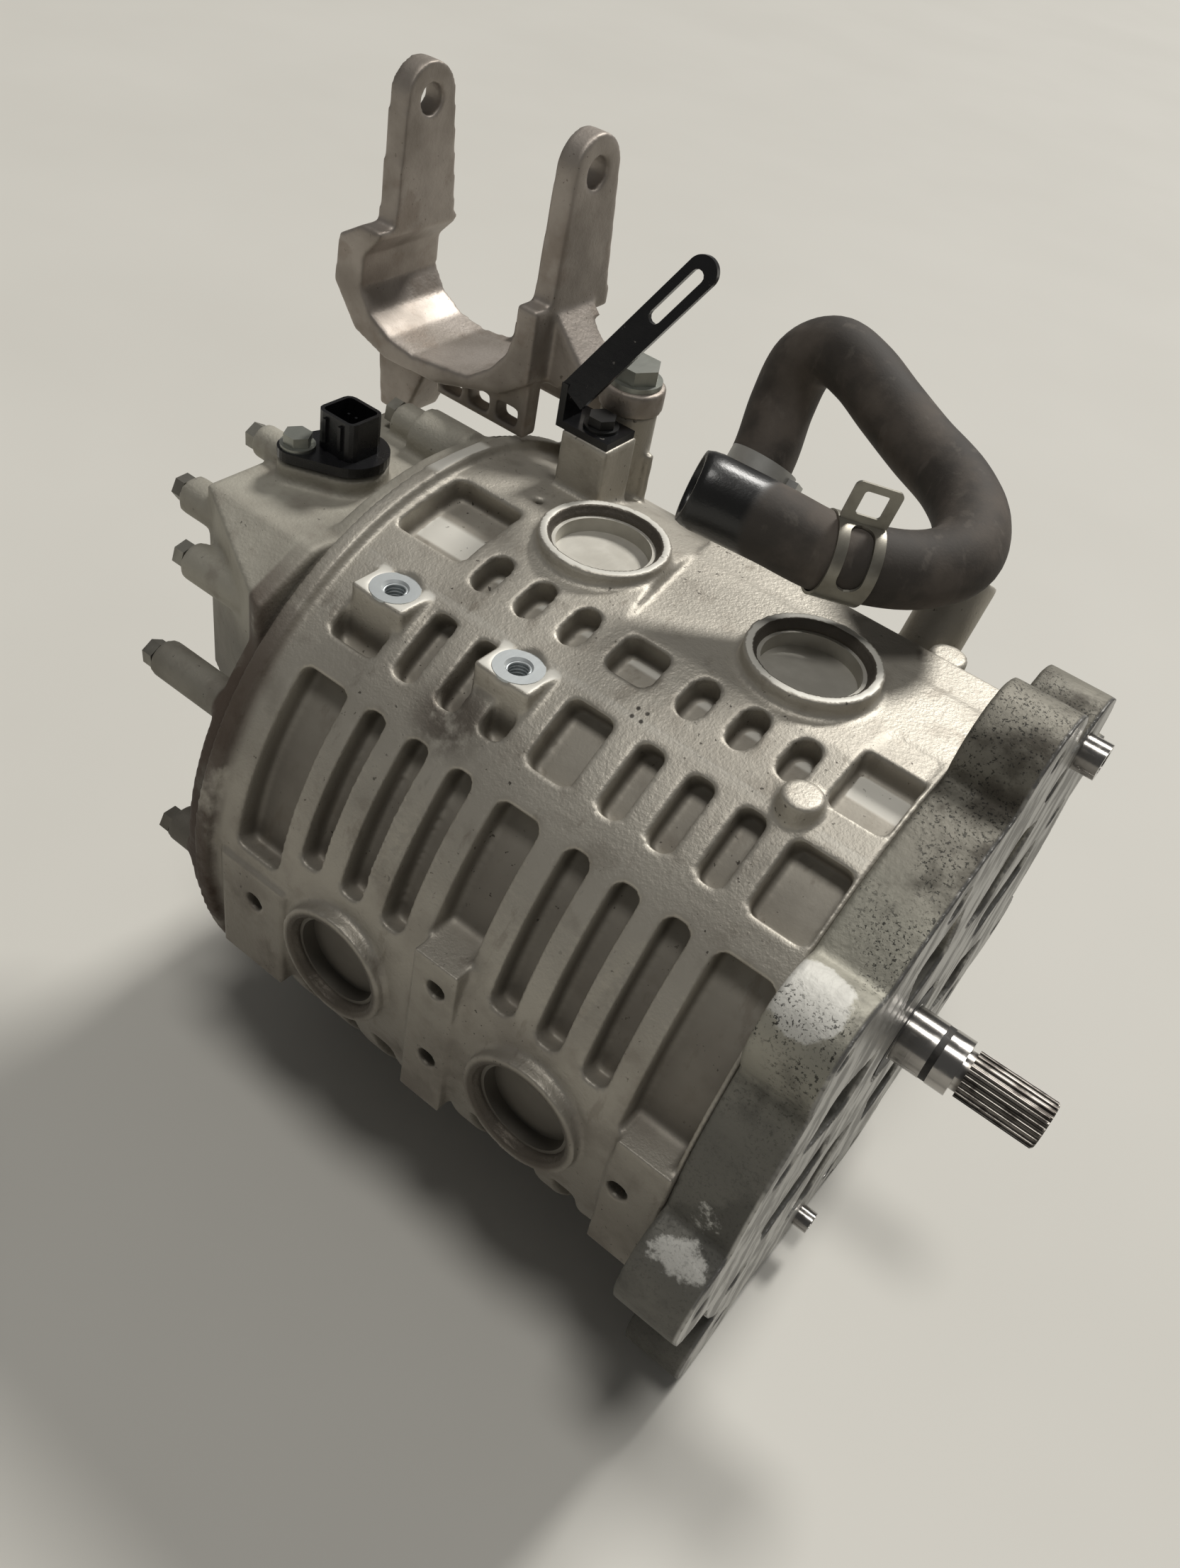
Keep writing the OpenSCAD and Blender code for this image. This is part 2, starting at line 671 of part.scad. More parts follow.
module rear_cover() {
  color([0.68, 0.66, 0.6]) difference() {
    union() {
      along_x(cover_x - cover_flange_t) cylinder(r = housing_r, h = cover_flange_t);
      along_x(cover_x - 46) cylinder(r1 = cone_r - 30, r2 = cone_r, h = 43);
      ring_x(cover_x - 1, 6, spigot_r - slip_gap, spigot_r - 8);
      along_x(hub_x) cylinder(r = hub_r, h = cover_x - 3 - hub_x);
      cover_roof();
      cover_plinth(box_z - 1, con_z);
      for (p = pillars)
        on_circle(cover_x - cover_flange_t - p[1], p[0], cover_bolt_pcd_r - 2)
          cylinder(r = pillar_r, h = p[1] + 1);
      on_circle(cover_x - cover_flange_t - post_len, pillars[0][0], cover_bolt_pcd_r - 3)
        cylinder(r = post_r, h = post_len + 1);
      translate([roof_boss[0], roof_boss[1], roof_boss[2]]) rotate([0, 90, 0])
        cylinder(r = roof_boss[3], h = roof_boss[4]);
      for (i = [0:9])
        rotate([i * 36 + 12, 0, 0]) cover_rib();
    }
    // Dish round the hub, and the cable space under the roof
    difference() {
      along_x(cover_x - 38) cylinder(r1 = dish_r - 23, r2 = dish_r, h = 39);
      along_x(cover_x - 39) cylinder(r = hub_r - 1, h = 34);
    }
    translate([box_x + 6, -60, hub_r - 4]) cube([cover_x - box_x - 15, 80, box_z - hub_r - 4]);
    cover_hollow_ring();
    for (p = pillars)
      on_circle(cover_x - cover_flange_t - p[1] - 1, p[0], cover_bolt_pcd_r)
        cylinder(r = cover_bolt_r + slip_gap, h = far);
    translate([roof_boss[0] - 1, roof_boss[1], roof_boss[2]]) rotate([0, 90, 0])
      cylinder(r = cover_bolt_r + slip_gap, h = cover_bolt_grip + 2);
    translate([con_x, con_y, box_z - 14]) cylinder(r = 7, h = far);
    translate([con_bolt_x, con_bolt_y, con_z - 14]) cylinder(r = con_bolt_r + slip_gap, h = far);
  }
}

// Stepped bore of the hub, with the screw holes of its cap
module cover_hollow_ring() {
  along_x(rear_brg_x - wave_t) cylinder(r = rear_brg[1], h = far);
  along_x(hub_x - 1) cylinder(r = rear_brg[1] - 6, h = far);
  along_x(hub_x - 1) cylinder(r = resolver_r, h = rear_brg_x - wave_t - web_t - hub_x + 1);
  for (i = [0:3])
    on_circle(hub_x - 1, i * 90 + 45, hub_r - 4) cylinder(r = 2 + slip_gap, h = 14);
}

module rear_cover_gasket() {
  color([0.2, 0.2, 0.2]) difference() {
    ring_x(cover_x, gasket_t, housing_r, spigot_r);
    for (p = pillars)
      on_circle(cover_x - 1, p[0], cover_bolt_pcd_r) cylinder(r = cover_bolt_r + slip_gap, h = 4);
  }
}

module rear_cover_bolts() {
  color([0.55, 0.55, 0.5]) for (p = pillars)
    on_circle(cover_x - cover_flange_t - p[1], p[0], cover_bolt_pcd_r) rotate([180, 0, 0])
      flange_bolt(cover_bolt_r, cover_bolt_head_r, cover_bolt_head_h,
                  p[1] + cover_flange_t + gasket_t + cover_bolt_grip);
  color([0.55, 0.55, 0.5]) translate([roof_boss[0], roof_boss[1], roof_boss[2]]) rotate([180, 90, 0])
    flange_bolt(cover_bolt_r, cover_bolt_head_r, cover_bolt_head_h, cover_bolt_grip);
}

module stator_core() {
  color([0.35, 0.35, 0.38]) difference() {
    ring_x(stack_x1, stack_len, stator_r, stator_bore_r);
    for (i = [1:slots])
      rotate([i * 360 / slots, 0, 0]) {
        translate([stack_x1 - 1, -slot_t / 2, slot_r1]) cube([stack_len + 2, slot_t, slot_r2 - slot_r1]);
        translate([stack_x1 - 1, -1.5, stator_bore_r - 2]) cube([stack_len + 2, 3, 8]);
      }
  }
}

module stator_windings() {
  color([0.75, 0.42, 0.2]) {
    for (i = [1:slots])
      rotate([i * 360 / slots, 0, 0])
        translate([stack_x1 - 2, -slot_t / 2 + 0.3, slot_r1 + 0.3])
          cube([stack_len + 4, slot_t - 0.6, slot_r2 - slot_r1 - 0.6]);
    ring_x(stack_x1 - 26, 26, slot_r2 - 1, slot_r1 + 1);
    ring_x(stack_x2, 26, slot_r2 - 1, slot_r1 + 1);
  }
}

module terminal_block() {
  color([0.15, 0.15, 0.16]) difference() {
    translate([term_x - term_w / 2, term_y - 24, -term_h / 2]) cube([term_w, 10, term_h]);
    for (i = [-1:1])
      translate([term_x, term_y - 26, i * stud_pitch]) rotate([-90, 0, 0]) cylinder(r = 4, h = 20);
  }
}

module phase_studs() {
  color([0.75, 0.45, 0.25]) for (i = [-1:1])
    translate([term_x, term_y - 30, i * stud_pitch]) rotate([-90, 0, 0]) {
      cylinder(r = 4, h = 26);
      cylinder(r = 8, h = 6, $fn = 6);
    }
}

module terminal_cover() {
  color([0.65, 0.63, 0.58]) difference() {
    translate([term_x - term_w / 2 - term_rim, term_y, -term_h / 2 - term_rim])
      cube([term_w + 2 * term_rim, term_cover_t, term_h + 2 * term_rim]);
    for (sx = [-1, 1], sz = [-1, 1])
      translate([term_x + sx * (term_w / 2 + term_screw_in), term_y - 1, sz * (term_h / 2 + term_screw_in)])
        rotate([-90, 0, 0]) cylinder(r = term_screw_r + slip_gap, h = 20);
  }
}

module terminal_cover_screws() {
  color([0.5, 0.5, 0.48]) for (sx = [-1, 1], sz = [-1, 1])
    translate([term_x + sx * (term_w / 2 + term_screw_in), term_y + term_cover_t,
               sz * (term_h / 2 + term_screw_in)])
      rotate([-90, 0, 0]) flange_bolt(term_screw_r, 4.6, 4, 15, 5.5);
}

module resolver_stator() {
  color([0.4, 0.4, 0.42]) ring_x(resolver_x - resolver_t / 2, resolver_t, resolver_r, resolver_rotor_r + 1);
}

module resolver_rotor() {
  color([0.45, 0.45, 0.48]) ring_x(resolver_x - resolver_t / 2, resolver_t, resolver_rotor_r, 11);
}

module resolver_cap() {
  color([0.66, 0.64, 0.58]) difference() {
    along_x(hub_x - cap_t) cylinder(r = hub_r, h = cap_t);
    for (i = [0:3])
      on_circle(hub_x - cap_t - 1, i * 90 + 45, hub_r - 4) cylinder(r = 2 + slip_gap, h = 14);
  }
}

module resolver_cap_screws() {
  color([0.5, 0.5, 0.48]) for (i = [0:3])
    on_circle(hub_x - cap_t, i * 90 + 45, hub_r - 4) rotate([180, 0, 0]) cap_screw(2, 3.5, 3, 14);
}

module connector_seal() {
  color([0.1, 0.1, 0.1]) difference() {
    translate([con_x, con_y, con_z]) cylinder(r = 13, h = con_seal_t);
    translate([con_x, con_y, con_z - 1]) cylinder(r = 10, h = 4);
  }
}

module resolver_connector() {
  z = con_z + con_seal_t;
  color([0.05, 0.05, 0.05]) difference() {
    union() {
      cover_plinth(z, z + con_plate_t);
      translate([con_x, con_y, z]) linear_extrude(con_h) round_rect(con_w, con_d, con_round);
      for (i = [-1, 1])
        translate([con_x + i * 4 - 0.8, con_y - con_d / 2 - 1.2, z + con_plate_t + 4])
          cube([1.6, 3, con_h - con_plate_t - 6]);
      translate([con_x - 4, con_y + con_d / 2 - 1.5, z + con_plate_t + 6]) cube([8, 3.5, 4]);
    }
    translate([con_x, con_y, z + 9]) linear_extrude(con_h)
      round_rect(con_w - 2 * con_wall, con_d - 2 * con_wall, con_round - con_wall);
    translate([con_bolt_x, con_bolt_y, z - 1]) cylinder(r = con_bolt_r + slip_gap, h = 20);
  }
  color([0.7, 0.6, 0.3]) for (i = [-1:1], j = [-1, 1])
    translate([con_x + i * 4 - 0.5, con_y + j * 3 - 0.5, z + 8]) cube([1, 1, pin_h]);
}

module connector_bolt() {
  color([0.6, 0.6, 0.55]) translate([con_bolt_x, con_bolt_y, con_z + con_seal_t + con_plate_t])
    flange_bolt(con_bolt_r, 5.77, 5.5, 16, 7);
}

// One arm of the fork, a plate across the shaft direction
module bracket_arm(x) {
  translate([x, 0, 0]) rotate([90, 0, 90]) linear_extrude(arm_t) {
    translate([fork_y, fork_z]) circle(r = eye_r);
    polygon([[fork_y - eye_r, fork_z], [fork_y + eye_r, fork_z], [fork_y + 20, saddle_z - 4],
             [fork_y - 17, saddle_z - 4]]);
  }
}

// Outside of the saddle: a shoulder that bulges past the rear arm, and a floor that rises to the front
module saddle_outside() {
  polygon([[fork_x1, saddle_z], [fork_x1 - 13, saddle_z - 8], [fork_x1 - 15, saddle_z - 28],
           [fork_x1 - 2, saddle_z - 45], [fork_x1 + 16, saddle_z - 51], [fork_x1 + 45, saddle_z - 50],
           [fork_x2 - 14, saddle_z - 40], [fork_x2, saddle_z - 30], [fork_x2, saddle_z]]);
}

// Room for the rubber mount between the arms
module saddle_trough() {
  arm_in1 = fork_x1 + arm_t;
  arm_in2 = fork_x2 - arm_t;
  polygon([[arm_in1, fork_z + 60], [arm_in1, saddle_z - 3], [arm_in1 - 8, saddle_z - 12],
           [arm_in1 - 9, saddle_z - 26], [arm_in1 - 3, saddle_z - 35], [arm_in1 + 8, saddle_z - 41],
           [arm_in1 + 22, saddle_z - 43], [arm_in2 - 21, saddle_z - 39], [arm_in2 - 10, saddle_z - 31],
           [arm_in2 - 3, saddle_z - 22], [arm_in2, saddle_z - 12], [arm_in2, fork_z + 60]]);
}

// Lattice wall under the front half of the saddle, with three windows
module saddle_lattice() {
  difference() {
    translate([fork_x1 + 42, saddle_y1 + 5, lattice_z])
      cube([fork_x2 - fork_x1 - 44, 8.5, saddle_z - 26 - lattice_z]);
    for (i = [0:2])
      translate([fork_x1 + 45 + i * 15, saddle_y1, lattice_z + 3]) cube([11, 20, 8]);
  }
}

module bracket_foot(x, y, z) {
  translate([x, y, z]) cylinder(r = foot_r, h = foot_t);
}

module mount_bracket() {
  color([0.78, 0.76, 0.72]) difference() {
    union() {
      translate([0, saddle_y2, 0]) rotate([90, 0, 0])
        linear_extrude(saddle_y2 - saddle_y1) saddle_outside();
      bracket_arm(fork_x1);
      bracket_arm(fork_x2 - arm_t);
      bracket_foot(tower_x, tower_y, tower_z);
      bracket_foot(pedestal_x, pedestal_y, pedestal_z);
      saddle_lattice();
      // Leg behind the roof, under the shoulder
      translate([0, saddle_y2 - 14, 0]) rotate([90, 0, 0]) linear_extrude(22)
        polygon([[fork_x1 + 1, saddle_z - 42], [fork_x1 + 5, leg_z], [fork_x1 + 20, leg_z],
                 [fork_x1 + 34, saddle_z - 46]]);
      // Webs from the trough down to the two feet
      translate([fork_mid_x, 0, 0]) rotate([90, 0, 90]) linear_extrude(pedestal_x - fork_mid_x)
        polygon([[pedestal_y - foot_r, pedestal_z], [pedestal_y + foot_r, pedestal_z],
                 [pedestal_y + foot_r, pedestal_z + foot_t], [saddle_y2 - 3, saddle_z - 32],
                 [saddle_y1 + 12, saddle_z - 32], [pedestal_y - foot_r, pedestal_z + foot_t]]);
      translate([fork_x2 - 12, tower_y - 6, tower_z]) cube([tower_x - fork_x2 + 12, 12, foot_t]);
      translate([fork_x2 - 9, tower_y + 12, 0]) rotate([90, 0, 0]) linear_extrude(24)
        polygon([[0, tower_z], [tower_x - fork_x2 - 6, tower_z],
                 [tower_x - fork_x2 - 6, tower_z + foot_t - 2],
                 [9.5, saddle_z - 3], [0, saddle_z - 3]]);
    }
    translate([0, saddle_y2 + 1, 0]) rotate([90, 0, 0])
      linear_extrude(saddle_y2 - saddle_y1 + 2) saddle_trough();
    translate([fork_x1 - 1, fork_y, fork_z]) rotate([0, 90, 0]) cylinder(r = fork_bore_r, h = far);
    for (p = [[tower_x, tower_y, tower_z], [pedestal_x, pedestal_y, pedestal_z]]) {
      translate([p[0], p[1], p[2] - 1]) cylinder(r = bracket_bolt_r + slip_gap, h = foot_t + 2);
      translate([p[0], p[1], p[2] + foot_t]) cylinder(r = bolt_flange_r + 1, h = 30);
    }
  }
}

module bracket_bolts() {
  color([0.62, 0.64, 0.6]) for (p = [[tower_x, tower_y, tower_z], [pedestal_x, pedestal_y, pedestal_z]])
    translate([p[0], p[1], p[2] + foot_t])
      flange_bolt(bracket_bolt_r, hex_af17, 8, bracket_bolt_grip, bolt_flange_r);
}

// Bent strip: a foot under the bolt, a short riser and a leaning arm with a slot
module harness_clip() {
  color([0.04, 0.04, 0.04]) translate([clip_post_x, clip_post_y, clip_post_z]) {
    difference() {
      translate([-clip_reach, -clip_base / 2, 0]) cube([clip_reach + 10, clip_base, clip_t]);
      translate([0, 0, -1]) cylinder(r = clip_bolt_r + slip_gap, h = 8);
    }
    translate([-clip_reach, -clip_base / 2, 0]) cube([clip_t, clip_w, clip_rise]);
    translate([clip_w / 2 - clip_reach - 1, -clip_base / 2, clip_rise - 4]) rotate(clip_lean) difference() {
      union() {
        translate([-clip_w / 2, 0, 0]) cube([clip_w, clip_t, clip_len - clip_w / 2]);
        translate([0, 0, clip_len - clip_w / 2 - 0.5]) rotate([-90, 0, 0])
          cylinder(r = clip_w / 2, h = clip_t);
      }
      translate([0, -1, clip_len - 19]) rotate([-90, 0, 0]) linear_extrude(8) stadium(5, 26);
    }
  }
}

module harness_clip_bolt() {
  color([0.08, 0.08, 0.08]) translate([clip_post_x, clip_post_y, clip_post_z + clip_t])
    flange_bolt(clip_bolt_r, 5.77, 5, 15, 7);
}

// Steel port pipe, pressed into its boss up to a shoulder
module port_pipe() {
  difference() {
    union() {
      cylinder(r = pipe_r, h = pipe_len);
      translate([0, 0, -16]) cylinder(r = pipe_seat_r, h = 17);
    }
    translate([0, 0, -17]) cylinder(r = pipe_bore_r, h = pipe_len + 40);
  }
}

module coolant_outlet_pipe() {
  color([0.6, 0.6, 0.6]) on_ray(outlet_x, outlet_phi, port_boss_h) port_pipe();
}

module coolant_inlet_pipe() {
  color([0.6, 0.6, 0.6]) on_ray(inlet_x, inlet_phi, port_boss_h) port_pipe();
}

// Smooth route through the hand-chosen points
function route_point(i) = hose_path[min(max(i, 0), len(hose_path) - 1)];
function smooth(a, b, c, d, t) =
  0.5 * (2 * b + (c - a) * t + (2 * a - 5 * b + 4 * c - d) * t * t + (3 * b - a - 3 * c + d) * t * t * t);
function route(u) = let (i = min(floor(u), len(hose_path) - 2), t = u - i)
  smooth(route_point(i - 1), route_point(i), route_point(i + 1), route_point(i + 2), t);
function unit(v) = v / norm(v);
route_end = len(hose_path) - 1;
function route_dir(u) = unit(route(min(u + 0.01, route_end)) - route(max(u - 0.01, 0)));
// Frame carried along the route without twist
function frames(rings, i = 0, last = [0.3, 0.9, -0.3]) =
  i > rings ? [] :
  let (d = route_dir(i * route_end / rings), n = unit(last - (last * d) * d))
  concat([[route(i * route_end / rings), n, cross(d, n)]], frames(rings, i + 1, n));

module hose_tube(r, rings) {
  f = frames(rings);
  pts = [for (q = f, k = [0:hose_sides - 1])
    let (a = k * 360 / hose_sides) q[0] + r * (cos(a) * q[1] + sin(a) * q[2])];
  walls = [for (i = [0:rings - 1], k = [0:hose_sides - 1])
    let (a = i * hose_sides + k, b = i * hose_sides + (k + 1) % hose_sides)
    [a, a + hose_sides, b + hose_sides, b]];
  first = [for (k = [0:hose_sides - 1]) k];
  last = [for (k = [0:hose_sides - 1]) rings * hose_sides + hose_sides - 1 - k];
  polyhedron(pts, concat([first, last], walls));
}

module coolant_hose() {
  color([0.18, 0.15, 0.13]) hose_tube(hose_r, route_end * hose_steps);
}

module rotor_shaft() {
  color([0.62, 0.62, 0.6]) difference() {
    union() {
      along_x(spline_x) cylinder(r = spline_r, h = spline_len - 1);
      along_x(shaft_tip_x - 1) cylinder(r1 = spline_r, r2 = spline_r - 1, h = 1);
      along_x(journal_len) cylinder(r = spline_r - 1.6, h = neck_len);
      along_x(0) cylinder(r = journal_r, h = journal_len);
      along_x(-8) cylinder(r = seal_land_r, h = 8);
      along_x(front_x) cylinder(r = front_brg[0], h = front_brg[2] + 3);
      along_x(front_x - 4) cylinder(r = front_brg[0] + 4, h = 4);
      along_x(rear_x - 5) cylinder(r = rotor_bore_r, h = housing_len + 1);
      along_x(rear_brg_x + rear_brg[2]) cylinder(r = rear_brg[0] + 4, h = 10);
      along_x(rear_brg_x - 2) cylinder(r = rear_brg[0], h = rear_brg[2] + 2);
      along_x(resolver_x - resolver_t / 2) cylinder(r = 11, h = 40);
      along_x(resolver_x - resolver_t / 2 - 10) cylinder(r = 9, h = 12);
    }
    along_x(groove_x - groove_w / 2) difference() {
      cylinder(r = journal_r + 1, h = groove_w);
      cylinder(r = groove_r, h = groove_w);
    }
    along_x(front_x + front_brg[2]) difference() {
      cylinder(r = front_brg[0] + 1, h = 1.5);
      cylinder(r = front_brg[0] - 1, h = 1.5);
    }
    for (i = [1:spline_teeth])
      on_circle(spline_x - 1, i * 360 / spline_teeth, spline_r + 0.2) cylinder(r = 1.2, h = far);
  }
}

module rotor_core() {
  color([0.4, 0.4, 0.42]) difference() {
    ring_x(stack_x1, stack_len, rotor_r, rotor_bore_r);
    for (i = [1:poles])
      rotate([i * 360 / poles, 0, 0]) translate([stack_x1 - 1, -magnet_w / 2, magnet_r - magnet_t / 2])
        cube([stack_len + 2, magnet_w, magnet_t]);
  }
}

module rotor_magnets() {
  color([0.3, 0.3, 0.32]) for (i = [1:poles])
    rotate([i * 360 / poles, 0, 0]) translate([stack_x1, -magnet_w / 2, magnet_r - magnet_t / 2])
      cube([stack_len, magnet_w, magnet_t]);
}

module rotor_end_rings() {
  color([0.7, 0.7, 0.68]) {
    ring_x(stack_x1 - 6, 6, rotor_r - 2, rotor_bore_r);
    ring_x(stack_x2, 6, rotor_r - 2, rotor_bore_r);
  }
}

module rotor_nut() {
  color([0.5, 0.5, 0.5]) along_x(resolver_x - resolver_t / 2 - 7) difference() {
    cylinder(r = 15, h = 7, $fn = 6);
    translate([0, 0, -1]) cylinder(r = 9, h = 9);
  }
}

module shaft_circlip() {
  color([0.3, 0.3, 0.3]) ring_x(front_x + front_brg[2], 1.5, front_brg[0] + 2.5, front_brg[0] - 1);
}

module shaft_o_ring() {
  color([0.05, 0.05, 0.05]) ring_x(groove_x - groove_w / 2, groove_w, journal_r - 0.3, groove_r);
}

// Band clamp that closes the hose on the outlet pipe
module pipe_band_clamp() {
  color([0.66, 0.66, 0.64]) on_ray(outlet_x, outlet_phi, port_boss_h + 9) {
    difference() {
      cylinder(r = hose_r + clamp_t, h = 13);
      translate([0, 0, -1]) cylinder(r = hose_r + slip_gap, h = 15);
    }
    translate([hose_r + 0.6, -4, 3]) cube([5, 8, 8]);
  }
}

// Spring clamp that waits on the hose near its free end, with its grip loop standing up
module hose_spring_clamp() {
  u = route_end - 2.15;
  d = route_dir(u);
  color([0.3, 0.29, 0.27]) translate(route(u))
    rotate([0, acos(d[2]), atan2(d[1], d[0])]) difference() {
      union() {
        translate([0, 0, -clamp_w / 2]) cylinder(r = hose_r + clamp_t, h = clamp_w);
        translate([-hose_r - loop_h, -clamp_t / 2, -clamp_w / 2]) cube([loop_h, clamp_t, clamp_w]);
      }
      translate([0, 0, -clamp_w]) cylinder(r = hose_r + slip_gap, h = 2 * clamp_w);
      translate([-hose_r - loop_h + 2, -5, 2 - clamp_w / 2]) cube([loop_h - 6, 10, clamp_w - 4]);
    }
}

motor_housing();
drive_end_plate();
rear_cover();
rear_cover_gasket();
rear_cover_bolts();
drive_end_bolts();
core_plugs();
thread_inserts();
dowel_sleeves();
shaft_seal();
front_bearing_outer_race();
front_bearing_inner_race();
front_bearing_balls();
front_bearing_cage();
rear_bearing_outer_race();
rear_bearing_inner_race();
rear_bearing_balls();
rear_bearing_cage();
bearing_retainer();
bearing_retainer_screws();
bearing_wave_washer();
stator_core();
stator_windings();
terminal_block();
phase_studs();
terminal_cover();
terminal_cover_screws();
resolver_stator();
resolver_rotor();
resolver_cap();
resolver_cap_screws();
resolver_connector();
connector_seal();
connector_bolt();
mount_bracket();
bracket_bolts();
harness_clip();
harness_clip_bolt();
coolant_outlet_pipe();
coolant_inlet_pipe();
coolant_hose();
pipe_band_clamp();
hose_spring_clamp();
rotor_shaft();
rotor_core();
rotor_magnets();
rotor_end_rings();
rotor_nut();
shaft_circlip();
shaft_o_ring();
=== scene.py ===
import math

import bmesh
import bpy
from mathutils import Matrix, Vector


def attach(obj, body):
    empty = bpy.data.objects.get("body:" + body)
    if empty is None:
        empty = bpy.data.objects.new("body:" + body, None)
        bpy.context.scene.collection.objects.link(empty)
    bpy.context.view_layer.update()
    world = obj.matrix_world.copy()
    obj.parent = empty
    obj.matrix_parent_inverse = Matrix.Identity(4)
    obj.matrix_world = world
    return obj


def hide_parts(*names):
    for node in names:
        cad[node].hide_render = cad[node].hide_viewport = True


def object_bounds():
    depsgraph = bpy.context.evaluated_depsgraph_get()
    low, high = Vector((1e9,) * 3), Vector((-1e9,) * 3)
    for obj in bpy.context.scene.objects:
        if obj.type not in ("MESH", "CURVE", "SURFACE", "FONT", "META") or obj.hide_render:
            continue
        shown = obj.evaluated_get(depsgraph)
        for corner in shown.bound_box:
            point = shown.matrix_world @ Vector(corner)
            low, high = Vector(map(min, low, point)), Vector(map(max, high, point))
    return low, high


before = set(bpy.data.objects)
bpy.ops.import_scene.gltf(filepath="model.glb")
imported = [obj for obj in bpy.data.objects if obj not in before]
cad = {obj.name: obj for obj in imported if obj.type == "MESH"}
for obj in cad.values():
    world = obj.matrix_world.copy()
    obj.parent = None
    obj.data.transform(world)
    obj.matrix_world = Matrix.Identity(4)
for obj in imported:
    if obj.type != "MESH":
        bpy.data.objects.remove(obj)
cad_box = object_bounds()


# Camera. It looks down on the motor's drive end and ribbed side from a short
# distance with a wide lens, so the near end of the motor is drawn larger.
view = bpy.context.scene
view.view_settings.view_transform = "Standard"
lens = bpy.data.cameras.new("workshop_camera")
lens.lens = 29.846
lens.sensor_width = 36
camera = bpy.data.objects.new("workshop_camera", lens)
across = Vector((0.77975, 0.60448, 0.16310))
upward = Vector((-0.51539, 0.47180, 0.71539))
towards = Vector((0.35548, -0.64188, 0.67943))
turn = Matrix((across, upward, towards)).transposed()
camera.matrix_world = Matrix.Translation((0.0353, -0.3590, 0.3989)) @ turn.to_4x4()
view.collection.objects.link(camera)
view.camera = camera


# Coolant hose. Moulded rubber with a woven ply inside, pushed over the outlet
# pipe and held by a band; it bends up and over and ends open above the housing.
hose_route = [(-0.174, 0.094, 0.118), (-0.176, 0.108, 0.136), (-0.180, 0.120, 0.153),
              (-0.178, 0.125, 0.171), (-0.166, 0.125, 0.181), (-0.150, 0.121, 0.180),
              (-0.132, 0.114, 0.175), (-0.112, 0.106, 0.170), (-0.090, 0.092, 0.169),
              (-0.074, 0.075, 0.167), (-0.068, 0.056, 0.163), (-0.079, 0.038, 0.160),
              (-0.100, 0.019, 0.163), (-0.122, 0.008, 0.169), (-0.148, -0.005, 0.176)]
hose_r = 0.014
hose_bore = 0.0102
hose_mouth = 0.045
hose_sides = 40
route_steps = 8


def smooth_route(points, steps):
    """Points of one smooth curve through the given points."""
    pts = [Vector(p) for p in points]
    pts = [pts[0]] + pts + [pts[-1]]
    found = []
    for a, b, c, d in zip(pts, pts[1:], pts[2:], pts[3:]):
        for k in range(steps):
            t = k / steps
            found.append(0.5 * (2 * b + (c - a) * t + (2 * a - 5 * b + 4 * c - d) * t ** 2
                                + (3 * b - a - 3 * c + d) * t ** 3))
    return found + [pts[-1]]


def piece_from(name, mesh, smooth=True):
    """A new object for a mesh, shaded smooth."""
    made = bpy.data.objects.new(name, mesh)
    view.collection.objects.link(made)
    if smooth:
        mesh.polygons.foreach_set("use_smooth", [True] * len(mesh.polygons))
    return made


def swept(name, path, radii, sides):
    """A closed tube along a path; a radius for each point of the path."""
    bm = bmesh.new()
    rings = []
    side = Vector((0.3, 0.9, -0.3))
    for i, (p, r) in enumerate(zip(path, radii)):
        ahead = (path[min(i + 1, len(path) - 1)] - path[max(i - 1, 0)]).normalized()
        if ahead.length == 0:
            ahead = run
        run = ahead
        side = (side - side.dot(ahead) * ahead).normalized()
        other = ahead.cross(side)
        if rings and other.dot(last) < 0:
            other = -other
        last = other
        rings.append([bm.verts.new(p + r * (math.cos(a) * side + math.sin(a) * other))
                      for a in (2 * math.pi * k / sides for k in range(sides))])
    for lower, upper in zip(rings, rings[1:]):
        for k in range(sides):
            bm.faces.new((lower[k], lower[(k + 1) % sides], upper[(k + 1) % sides], upper[k]))
    bm.faces.new(list(reversed(rings[0])))
    bm.faces.new(rings[-1])
    bmesh.ops.recalc_face_normals(bm, faces=bm.faces)
    mesh = bpy.data.meshes.new(name)
    bm.to_mesh(mesh)
    bm.free()
    return piece_from(name, mesh)


